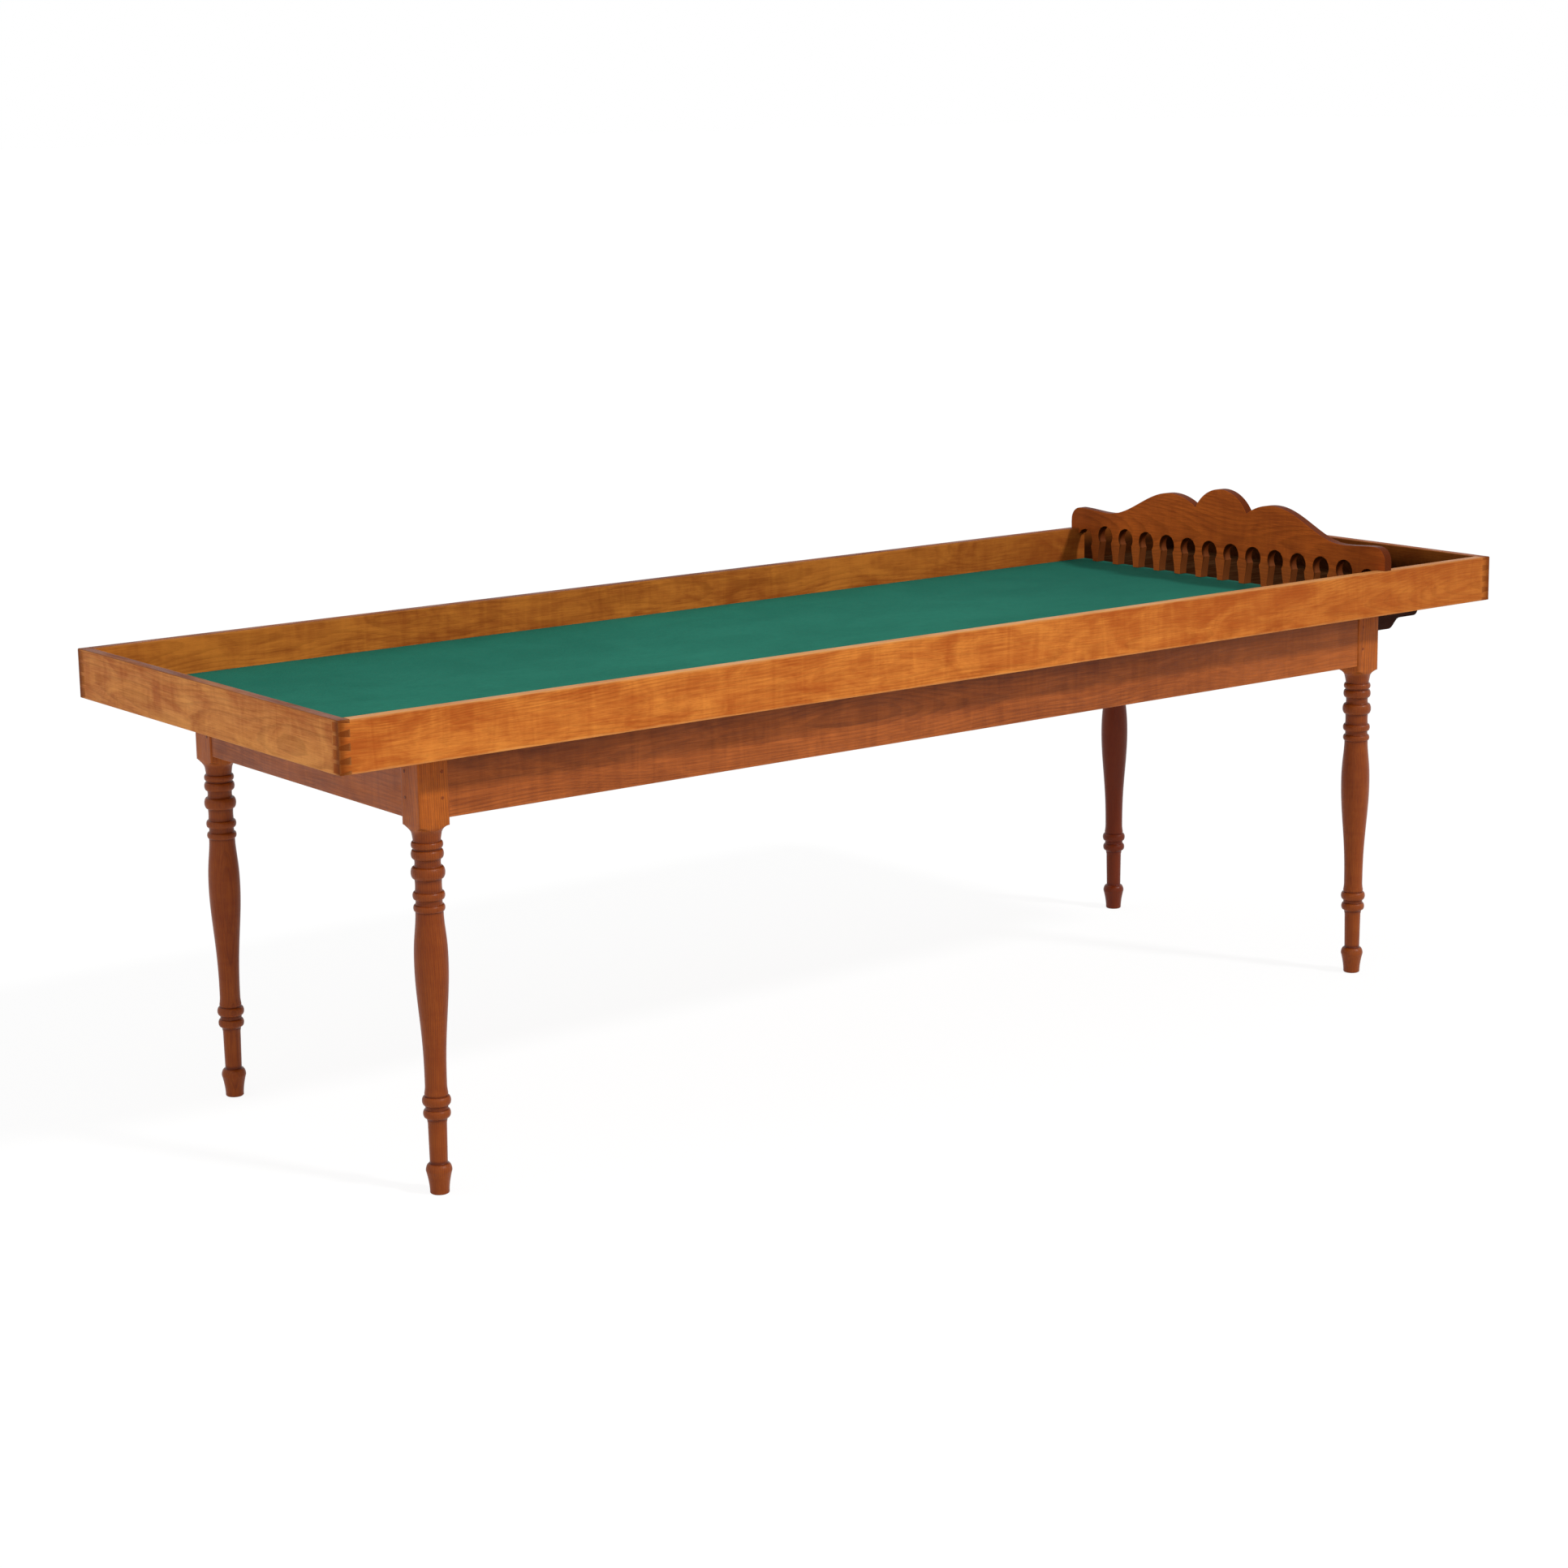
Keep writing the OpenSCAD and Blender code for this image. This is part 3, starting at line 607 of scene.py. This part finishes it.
def add_piece(name, mesh, body, slot, material, *nodes):
    """Shows a mesh in place of its CAD nodes, on their body."""
    piece = bpy.data.objects.new(name, mesh)
    bpy.context.scene.collection.objects.link(piece)
    mesh.materials.append(material)
    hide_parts(*nodes)
    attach(piece, body)
    return piece


def made(name, bm):
    """The finished mesh of a bmesh, shaded smooth."""
    for face in bm.faces:
        face.smooth = True
    mesh = bpy.data.meshes.new(name)
    bm.to_mesh(mesh)
    bm.free()
    return mesh


def welded(node):
    """The node's solid as a bmesh with its flat faces whole."""
    bm = bmesh.new()
    bm.from_mesh(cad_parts[node].data)
    bmesh.ops.remove_doubles(bm, verts=bm.verts, dist=WELD)
    bmesh.ops.dissolve_limit(bm, angle_limit=FLAT_ANGLE, verts=bm.verts, edges=bm.edges)
    return bm


def eased(name, node, body, slot, material, easing):
    """A copy of a node with every sharp edge eased; easing(edge) gives an edge's radius."""
    bm = welded(node)
    weight = bm.edges.layers.float.new("bevel_weight_edge")
    sharp = [e for e in bm.edges if len(e.link_faces) == 2 and e.calc_face_angle(0) > SHARP_ANGLE]
    radii = {e: easing(e) for e in sharp}
    widest = max(radii.values())
    for edge, radius in radii.items():
        edge[weight] = radius / widest
    piece = add_piece(name, made(name, bm), body, slot, material, node)
    bevel = piece.modifiers.new("Eased edges", "BEVEL")
    bevel.limit_method = "WEIGHT"
    bevel.width = widest
    bevel.segments = 3
    bevel.use_clamp_overlap = False
    normals = piece.modifiers.new("Flat faces", "WEIGHTED_NORMAL")
    normals.keep_sharp = True
    return piece


def lies_on(edge, axis, value):
    """Whether both ends of an edge have that coordinate, on either side of the middle."""
    return all(abs(abs(v.co[axis]) - value) < SAME_PLACE for v in edge.verts)


def tray_easing(settings):
    """Rounded tops and corners on the tray's outline, and a fine line at every joint."""
    def easing(edge):
        end, side = lies_on(edge, 0, TRAY_X), lies_on(edge, 1, TRAY_Y)
        inner_end, inner_side = lies_on(edge, 0, TRAY_X - RAIL_T), lies_on(edge, 1, TRAY_Y - RAIL_T)
        if lies_on(edge, 2, RAIL_TOP):
            run = edge.verts[0].co - edge.verts[1].co
            inside = inner_end and abs(run.x) < MM and not side or inner_side and abs(run.y) < MM
            short = run.length < 2 * RAIL_T
            return settings.arris if end or side or inside and not short else settings.joint_line
        if end and side or lies_on(edge, 2, RAIL_BOTTOM) and (end or side):
            return settings.low_arris
        return settings.joint_line

    return easing


def gallery_easing(settings):
    """A rounded outline above the rails, and sharper arches below."""
    def easing(edge):
        high_up = all(v.co.z > RAIL_TOP + 1 * MM for v in edge.verts)
        return settings.arris if high_up else settings.arch_arris

    return easing


def evenly(radius):
    """The same radius on every edge."""
    return lambda edge: radius


def plain_look(settings):
    """Unpolished wood of the pieces that show from below, behind the gallery or with a part lifted."""
    return Look(
        settings.plain_light, settings.plain_dark, settings.plain_dark, settings.plain_light,
        pith=90 * MM, spacing=4.4 * MM, lines=0.7, figure=0.2, mottle=0.7, roughness=0.62, shine=0.0,
    )


def islands(bm):
    """The separate solids of a bmesh, each as a set of vertices."""
    left = set(bm.verts)
    while left:
        found, ahead = set(), [left.pop()]
        while ahead:
            vertex = ahead.pop()
            found.add(vertex)
            for edge in vertex.link_edges:
                other = edge.other_vert(vertex)
                if other in left:
                    left.remove(other)
                    ahead.append(other)
        yield found


def peg_ends(name, node, body, slot, material, rise):
    """Pegs that stand a little proud of the leg blocks, with domed ends."""
    bm = welded(node)
    for island in islands(bm):
        low = Vector(tuple(min(v.co[i] for v in island) for i in range(3)))
        high = Vector(tuple(max(v.co[i] for v in island) for i in range(3)))
        centre, size = (low + high) / 2, high - low
        way = 0 if size.x > size.y else 1
        shift = Vector((0, 0, 0))
        shift[way] = math.copysign(rise, centre[way])
        bmesh.ops.translate(bm, vec=shift, verts=list(island))
    piece = add_piece(name, made(name, bm), body, slot, material, node)
    bevel = piece.modifiers.new("Domed ends", "BEVEL")
    bevel.width = 2.5 * rise
    bevel.segments = 3
    bevel.angle_limit = SHARP_ANGLE
    return piece


# Legs

# Heights closer than this are one row of the turning
LEVEL = 0.02 * MM

# A sharper bend than this stays a crease, and a rounded one gets a step for each of these, up to the most
CREASE = math.radians(50)
BEND_STEP = math.radians(9)
MOST_STEPS = 4

# Rows of the shoulder under the block, and the least angle between two columns round it
FLARE_ROWS = 6
LEAST_ANGLE = 0.012
FULL_TURN = 2 * math.pi


def leg_profile(node):
    """The turned part as (height, radius) from the floor up, then the block's foot and half width."""
    low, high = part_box(node)
    axis, half = (low + high) / 2, (high.x - low.x) / 2
    outline = {}
    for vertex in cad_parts[node].data.vertices:
        z, r = vertex.co.z, math.hypot(vertex.co.x - axis.x, vertex.co.y - axis.y)
        level = round(z / LEVEL)
        if level not in outline or outline[level][1] < r:
            outline[level] = (z, r)
    points = sorted(outline.values())
    corner = half * math.sqrt(2) - 0.3 * MM
    block = next(z for z, r in points if r > corner)
    return [p for p in points if p[0] < block - LEVEL / 2], block, half


def bend(a, b, c):
    """How much a line turns at b."""
    first = math.atan2(b[1] - a[1], b[0] - a[0])
    second = math.atan2(c[1] - b[1], c[0] - b[0])
    return abs(second - first)


def catmull_rom(a, b, c, d, t):
    """A smooth curve from b to c that leaves and arrives along its neighbours."""
    square = 2 * a - 5 * b + 4 * c - d
    cube = 3 * b - a - 3 * c + d
    return 0.5 * (2 * b + (c - a) * t + square * t * t + cube * t ** 3)


def rounded(points):
    """The outline with its beads and coves as smooth curves, and its creases kept."""
    last = len(points) - 1
    turn = [0.0] + [bend(*points[i - 1:i + 2]) for i in range(1, last)] + [0.0]
    curve = []
    for i in range(last):
        b, c = points[i], points[i + 1]
        a = points[i - 1] if i and turn[i] < CREASE else b
        d = points[i + 2] if i + 2 <= last and turn[i + 1] < CREASE else c
        parts = min(MOST_STEPS, 1 + int((turn[i] + turn[i + 1]) / BEND_STEP))
        for k in range(parts):
            curve.append(tuple(catmull_rom(a[n], b[n], c[n], d[n], k / parts) for n in (0, 1)))
    return curve + [points[-1]]


def crests(curve):
    """How far each point of the outline stands proud of its surroundings, from -1 to 1."""
    window, full = 5 * MM, 2.2 * MM
    values = []
    for z, r in curve:
        near = [(q, math.exp(-(((p - z) / window) ** 2))) for p, q in curve if abs(p - z) < 3 * window]
        mean = sum(q * w for q, w in near) / sum(w for _, w in near)
        values.append(max(-1.0, min(1.0, (r - mean) / full)))
    return values


def block_columns(count, half, arris):
    """Angles round a leg, with a pair of columns at each arris of its block."""
    corner = math.acos(half / (half * math.sqrt(2) - arris))

    def apart(a, b):
        return abs((a - b + math.pi) % FULL_TURN - math.pi) > LEAST_ANGLE

    pairs = [math.pi / 2 * quarter + way * corner for quarter in range(4) for way in (1, -1)]
    even = [FULL_TURN * i / count for i in range(count)]
    spaced = [a for a in even if all(apart(a, b) for b in pairs)]
    return sorted(spaced + [b % FULL_TURN for b in pairs])


def leg_rows(node, settings):
    """Rows of (angle, height, radius) from the foot to the block's top, each with its crest value."""
    points, block, half = leg_profile(node)
    top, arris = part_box(node)[1].z, settings.arris
    corner = half * math.sqrt(2)
    curve = rounded(points)
    neck = len(curve) - 1
    while curve[neck - 1][1] < curve[neck][1] - 0.001 * MM:
        neck -= 1
    shoulder = curve[neck:] + [(block, corner)]
    neck_radius = curve[neck][1]

    def square(a):
        return min(corner - arris, half / max(abs(math.cos(a)), abs(math.sin(a))))

    def shoulder_height(r):
        for (z0, r0), (z1, r1) in zip(shoulder, shoulder[1:]):
            if r1 >= r:
                return z0 + (z1 - z0) * (r - r0) / max(r1 - r0, 1e-9)
        return shoulder[-1][0]

    columns = block_columns(settings.columns, half, arris)
    rows = [([(a, z, r) for a in columns], crest) for (z, r), crest in zip(curve[:neck + 1], crests(curve))]
    for k in range(1, FLARE_ROWS + 1):
        radii = [neck_radius + (square(a) - neck_radius) * k / FLARE_ROWS for a in columns]
        rows.append(([(a, shoulder_height(r), r) for a, r in zip(columns, radii)], 0.0))
    for z, inset in ((block + 2 * MM, 0), (top - arris, 0), (top - 0.3 * arris, 0.3 * arris), (top, arris)):
        rows.append(([(a, z, square(a) - inset) for a in columns], 0.0))
    return rows


def leg(name, node, settings, material):
    """A turned leg under a square block, with eased arrises and softened tips where the block ends."""
    low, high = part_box(node)
    axis = (low + high) / 2
    bm = bmesh.new()
    crest_layer = bm.verts.layers.float.new("crest")
    rings = []
    for row, crest in leg_rows(node, settings):
        ring = [bm.verts.new((axis.x + r * math.cos(a), axis.y + r * math.sin(a), z)) for a, z, r in row]
        for vertex in ring:
            vertex[crest_layer] = crest
        rings.append(ring)
    for lower, upper in zip(rings, rings[1:]):
        wall(bm, lower, upper)
    bm.faces.new(reversed(rings[0]))
    bm.faces.new(rings[-1])
    for edge in bm.edges:
        edge.smooth = edge.calc_face_angle(0) < SHARP_ANGLE
    return add_piece(name, made(name, bm), "stand", "stand_wood", material, node)


def wall(bm, lower, upper):
    """Faces between two closed rings of vertices."""
    for i in range(len(lower)):
        j = (i + 1) % len(lower)
        bm.faces.new((lower[i], lower[j], upper[j], upper[i]))


# Cloth

# Waves a metre along the cloth and across it, and the height at which the noise is cut
SWELL_WAVES = (3.1, 7.0)
SWELL_SLICE = 0.4


def stations(start, end, cell, edge):
    """Places of the mesh's lines from one cut edge to the other, closer at the edges."""
    count = max(2, round((end - start) / cell))
    first, last = start + edge, end - edge
    inner = [first + (last - first) * i / count for i in range(count + 1)]
    return [start, start + 0.3 * edge, *inner, end - 0.3 * edge, end]


def rim(grid):
    """The border of a grid of vertices, once round."""
    near_side = [row[0] for row in grid]
    far_side = [row[-1] for row in grid[1:-1]]
    return near_side + grid[-1][1:] + far_side[::-1] + grid[0][:0:-1]


def cloth_mesh(name, settings):
    """The cloth as a slab with a rounded edge, rising and falling a little over the planks."""
    low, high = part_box("baize")
    edge = settings.edge
    xs = stations(low.x, high.x, settings.cell, edge)
    ys = stations(low.y, high.y, settings.cell, edge)
    bm = bmesh.new()
    top, base = [], []
    for x in xs:
        top_row, base_row = [], []
        for y in ys:
            inset = min(x - low.x, high.x - x, y - low.y, high.y - y, edge)
            drop = edge * (1 - math.sqrt(1 - (1 - inset / edge) ** 2))
            wave = noise.noise(Vector((SWELL_WAVES[0] * x, SWELL_WAVES[1] * y, SWELL_SLICE)))
            top_row.append(bm.verts.new((x, y, high.z + settings.swell * (wave - 1) - drop)))
            base_row.append(bm.verts.new((x, y, low.z)))
        top.append(top_row)
        base.append(base_row)
    for i in range(len(xs) - 1):
        for j in range(len(ys) - 1):
            bm.faces.new((top[i][j], top[i + 1][j], top[i + 1][j + 1], top[i][j + 1]))
            bm.faces.new((base[i][j], base[i][j + 1], base[i + 1][j + 1], base[i + 1][j]))
    wall(bm, rim(base), rim(top))
    return made(name, bm)


# Operators


class GAMETABLE_OT_studio(bpy.types.Operator):
    """Set the camera, the soft key light, the pale surroundings and the floor"""

    bl_idname = "gametable.studio"
    bl_label = "Studio"

    def execute(self, context):
        s = context.scene.table_studio
        scene = context.scene
        scene.view_settings.view_transform = "Standard"
        camera = bpy.data.objects.new("camera", bpy.data.cameras.new("camera"))
        camera.data.lens = s.lens
        camera.data.sensor_width = 36
        camera.data.clip_end = 200
        camera.location = s.eye
        scene.collection.objects.link(camera)
        turn = Matrix.Rotation(-s.heading, 4, "Z") @ Matrix.Rotation(math.pi / 2 + s.pitch, 4, "X")
        camera.rotation_euler = (turn @ Matrix.Rotation(s.roll, 4, "Z")).to_euler()
        scene.camera = camera

        lamp = bpy.data.lights.new("key", "SUN")
        lamp.angle = s.key_spread
        lamp.energy = s.key
        key = bpy.data.objects.new("key", lamp)
        away = Vector((
            math.cos(s.sun_heading) * math.cos(s.sun_height),
            math.sin(s.sun_heading) * math.cos(s.sun_height),
            math.sin(s.sun_height),
        ))
        key.rotation_euler = away.to_track_quat("Z", "Y").to_euler()
        scene.collection.objects.link(key)

        world = bpy.data.worlds.new("studio")
        scene.world = world
        world.use_nodes = True
        surroundings(world.node_tree, s.sky, s.lean)
        floor_mesh = bpy.data.meshes.new("floor")
        reach = s.floor_reach
        corners = [(-reach, -reach, 0), (reach, -reach, 0), (reach, reach, 0), (-reach, reach, 0)]
        floor_mesh.from_pydata(corners, [], [(0, 1, 2, 3)])
        floor = bpy.data.objects.new("floor", floor_mesh)
        floor_mesh.materials.append(pale_floor(s))
        scene.collection.objects.link(floor)
        return {"FINISHED"}


class GAMETABLE_OT_legs(bpy.types.Operator):
    """Turn the four legs"""

    bl_idname = "gametable.legs"
    bl_label = "Legs"

    def execute(self, context):
        s = context.scene.table_stand
        look = Look(
            s.block_light, s.block_dark, s.line, s.worn,
            pith=30 * MM, spacing=3.4 * MM, lines=0.35, figure=0.5, mottle=0.9, roughness=0.36,
        )
        # Painted shade: the back right leg takes a larger share of the polish colour.
        painted_leg_shade = {"back_right": 0.32}
        for number, corner in enumerate(("front_left", "front_right", "back_left", "back_right")):
            node = f"leg_{corner}"
            block = leg_profile(node)[1]
            strength = s.polished + painted_leg_shade.get(corner, 0)
            polish = below(block, reach=12 * MM, strength=strength, tint=s.polish)
            finish = wood(f"{node}_wood", look, node, "z", 11 + number, turned=s.grime, layers=(polish,))
            leg(f"{corner}_leg", node, s, finish)
        return {"FINISHED"}


class GAMETABLE_OT_aprons(bpy.types.Operator):
    """Finish the aprons, their pegs, the cross bearers and the corbels"""

    bl_idname = "gametable.aprons"
    bl_label = "Aprons and corbels"

    def execute(self, context):
        s = context.scene.table_stand
        tray = context.scene.table_tray
        look = Look(
            s.light, s.dark, s.line, s.worn,
            pith=80 * MM, spacing=3.6 * MM, lines=0.3, figure=0.7, mottle=1.0, roughness=0.36,
        )
        # Painted shade: the corbels are coloured near-black for the shade they stand in under the tray.
        corbel_shade_look = Look(
            s.corbel, s.grime, s.grime, s.dark,
            pith=60 * MM, spacing=3.6 * MM, lines=0.3, figure=0.6, mottle=0.8, roughness=0.42, shine=0.04,
        )
        peg_look = Look(
            s.block_dark, s.dark, s.line, s.worn,
            pith=40 * MM, spacing=2.6 * MM, lines=0.3, figure=0.3, mottle=0.6, roughness=0.4,
        )
        # Painted shade: the aprons darken towards their tops, under the tray's overhang.
        painted_overhang_shade = above(RAIL_BOTTOM - 45 * MM, reach=30 * MM, strength=0.45, tint=s.line)
        # Painted light: the front apron grows paler towards its right end.
        painted_light_right = along(0.2, 0.9, strength=0.2, tint=s.block_light)
        for number, (side, grain) in enumerate(SIDE_GRAIN.items()):
            node = f"apron_{side}"
            layers = (painted_light_right, painted_overhang_shade) if side == "front" else (painted_overhang_shade,)
            finish = wood(f"{node}_wood", look, node, grain, 21 + number, worn=0.25, layers=layers)
            eased(f"{side}_apron", node, "stand", "stand_wood", finish, evenly(s.arris))
        for number, side in enumerate(("left", "right")):
            node = f"bearer_{side}"
            finish = wood(f"{node}_wood", plain_look(tray), node, "y", 31 + number)
            eased(f"{side}_bearer", node, "stand", "inner_wood", finish, evenly(tray.joint_line))
        for number, side in enumerate(("front", "back")):
            node = f"corbel_{side}"
            finish = wood(f"{node}_wood", corbel_shade_look, node, "x", 41 + number, worn=0.1)
            eased(f"{side}_corbel", node, "stand", "stand_wood", finish, evenly(0.7 * s.arris))
        finish = wood("apron_pegs_wood", peg_look, "apron_pegs", "x", 51)
        peg_ends("apron_peg_set", "apron_pegs", "stand", "peg_wood", finish, s.peg_rise)
        return {"FINISHED"}


class GAMETABLE_OT_rails(bpy.types.Operator):
    """Finish the tray's four rails and their dovetails"""

    bl_idname = "gametable.rails"
    bl_label = "Rails"

    def execute(self, context):
        s = context.scene.table_tray
        look = Look(
            s.light, s.dark, s.line, s.worn,
            pith=75 * MM, spacing=3.2 * MM, lines=0.25, figure=0.6, mottle=1.8, roughness=0.34, shine=0.02,
        )
        dull_look = look._replace(light=s.dull_light, dark=s.dull_dark)
        end_look = look._replace(light=s.end_light, dark=s.end_dark)
        looks = {"front": look, "back": dull_look, "left": end_look, "right": dull_look}
        tops = {"front": (0.8, s.worn), "back": (1.0, s.line), "left": (1.0, s.line), "right": (0.75, s.line)}
        worn = {"front": 0.35, "back": 0.12, "left": 0.12, "right": 0.12}
        ends = {"front": 0.3, "back": 0.3, "left": 0.8, "right": 0.45}
        layers = (
            along(0.2, TRAY_X, strength=0.4, tint=s.dull_dark),
            at_corners(reach=20 * MM, strength=0.8, tint=s.line),
            catch_stain(s),
        )
        for number, (side, grain) in enumerate(SIDE_GRAIN.items()):
            node = f"rail_{side}"
            finish = wood(
                f"{node}_wood", looks[side], node, grain, 61 + number,
                worn=worn[side], tops=tops[side], layers=layers, ends=ends[side],
            )
            eased(f"{side}_rail", node, "tray", "rail_wood", finish, tray_easing(s))
        return {"FINISHED"}


class GAMETABLE_OT_bed(bpy.types.Operator):
    """Finish the bed planks, the battens and their screws"""

    bl_idname = "gametable.bed"
    bl_label = "Bed and battens"

    def execute(self, context):
        s = context.scene.table_tray
        look = plain_look(s)
        for number in BOARD_NUMBERS:
            node = f"bed_plank_{number}"
            finish = wood(f"{node}_wood", look, node, "x", 71 + number, layers=(catch_stain(s),))
            eased(f"bed_board_{number}", node, "tray", "inner_wood", finish, evenly(1.5 * s.joint_line))
        for number, side in enumerate(("left", "middle", "right")):
            node = f"batten_{side}"
            finish = wood(f"{node}_wood", look, node, "y", 81 + number)
            eased(f"{side}_batten", node, "tray", "inner_wood", finish, evenly(1.5 * s.joint_line))
        iron = oiled_iron(s)
        eased("batten_screw_set", "batten_screws", "tray", "screw_iron", iron, evenly(s.screw_arris))
        return {"FINISHED"}


class GAMETABLE_OT_cloth(bpy.types.Operator):
    """Lay the green cloth on the bed"""

    bl_idname = "gametable.cloth"
    bl_label = "Cloth"

    def execute(self, context):
        s = context.scene.table_cloth
        piece = add_piece("cloth", cloth_mesh("cloth", s), "tray", "green_baize", baize_cloth(s), "baize")
        return {"FINISHED"}


class GAMETABLE_OT_gallery(bpy.types.Operator):
    """Finish the sawn gallery board and its pegs"""

    bl_idname = "gametable.gallery"
    bl_label = "Gallery"

    def execute(self, context):
        s = context.scene.table_gallery
        tray = context.scene.table_tray
        look = Look(
            s.light, s.dark, s.line, s.worn,
            pith=90 * MM, spacing=3.4 * MM, lines=0.3, figure=0.45, mottle=1.1, roughness=0.4, shine=0.02,
        )
        layers = (
            # Painted shade: below the rails' tops, among the arches, the board turns towards a duller brown.
            below(RAIL_TOP + 2 * MM, reach=30 * MM, strength=0.3, tint=s.worn),
            outward(TRAY_Y - 170 * MM, TRAY_Y - 60 * MM, strength=0.45, tint=s.line),
        )
        finish = wood("gallery_board_wood", look, "gallery_board", "y", 91, painted_edge_shade=0.9, layers=layers)
        eased("gallery", "gallery_board", "gallery", "gallery_wood", finish, gallery_easing(s))
        finish = wood("gallery_pegs_wood", plain_look(tray), "gallery_pegs", "z", 95)
        eased("gallery_peg_pair", "gallery_pegs", "gallery", "peg_wood", finish, evenly(s.peg_arris))
        return {"FINISHED"}


class GAMETABLE_PT_panel(bpy.types.Panel):
    """Lists the steps that dress the table"""

    bl_idname = "GAMETABLE_PT_panel"
    bl_label = "Game table"
    bl_space_type = "VIEW_3D"
    bl_region_type = "UI"
    bl_category = "Game table"

    def draw(self, context):
        for step in STEPS:
            self.layout.operator(step.bl_idname)


STEPS = (
    GAMETABLE_OT_studio, GAMETABLE_OT_legs, GAMETABLE_OT_aprons, GAMETABLE_OT_rails,
    GAMETABLE_OT_bed, GAMETABLE_OT_cloth, GAMETABLE_OT_gallery,
)
SETTINGS = {
    "table_tray": TraySettings, "table_stand": StandSettings, "table_gallery": GallerySettings,
    "table_cloth": ClothSettings, "table_studio": StudioSettings,
}


def register():
    for group in SETTINGS.values():
        bpy.utils.register_class(group)
    for name, group in SETTINGS.items():
        setattr(bpy.types.Scene, name, PointerProperty(type=group))
    for step in STEPS:
        bpy.utils.register_class(step)
    bpy.utils.register_class(GAMETABLE_PT_panel)


def unregister():
    bpy.utils.unregister_class(GAMETABLE_PT_panel)
    for step in reversed(STEPS):
        bpy.utils.unregister_class(step)
    for name, group in reversed(SETTINGS.items()):
        delattr(bpy.types.Scene, name)
        bpy.utils.unregister_class(group)


def main():
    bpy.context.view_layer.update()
    register()
    bpy.ops.gametable.studio()
    bpy.ops.gametable.legs()
    bpy.ops.gametable.aprons()
    bpy.ops.gametable.rails()
    bpy.ops.gametable.bed()
    bpy.ops.gametable.cloth()
    bpy.ops.gametable.gallery()


if __name__ == "__main__":
    main()
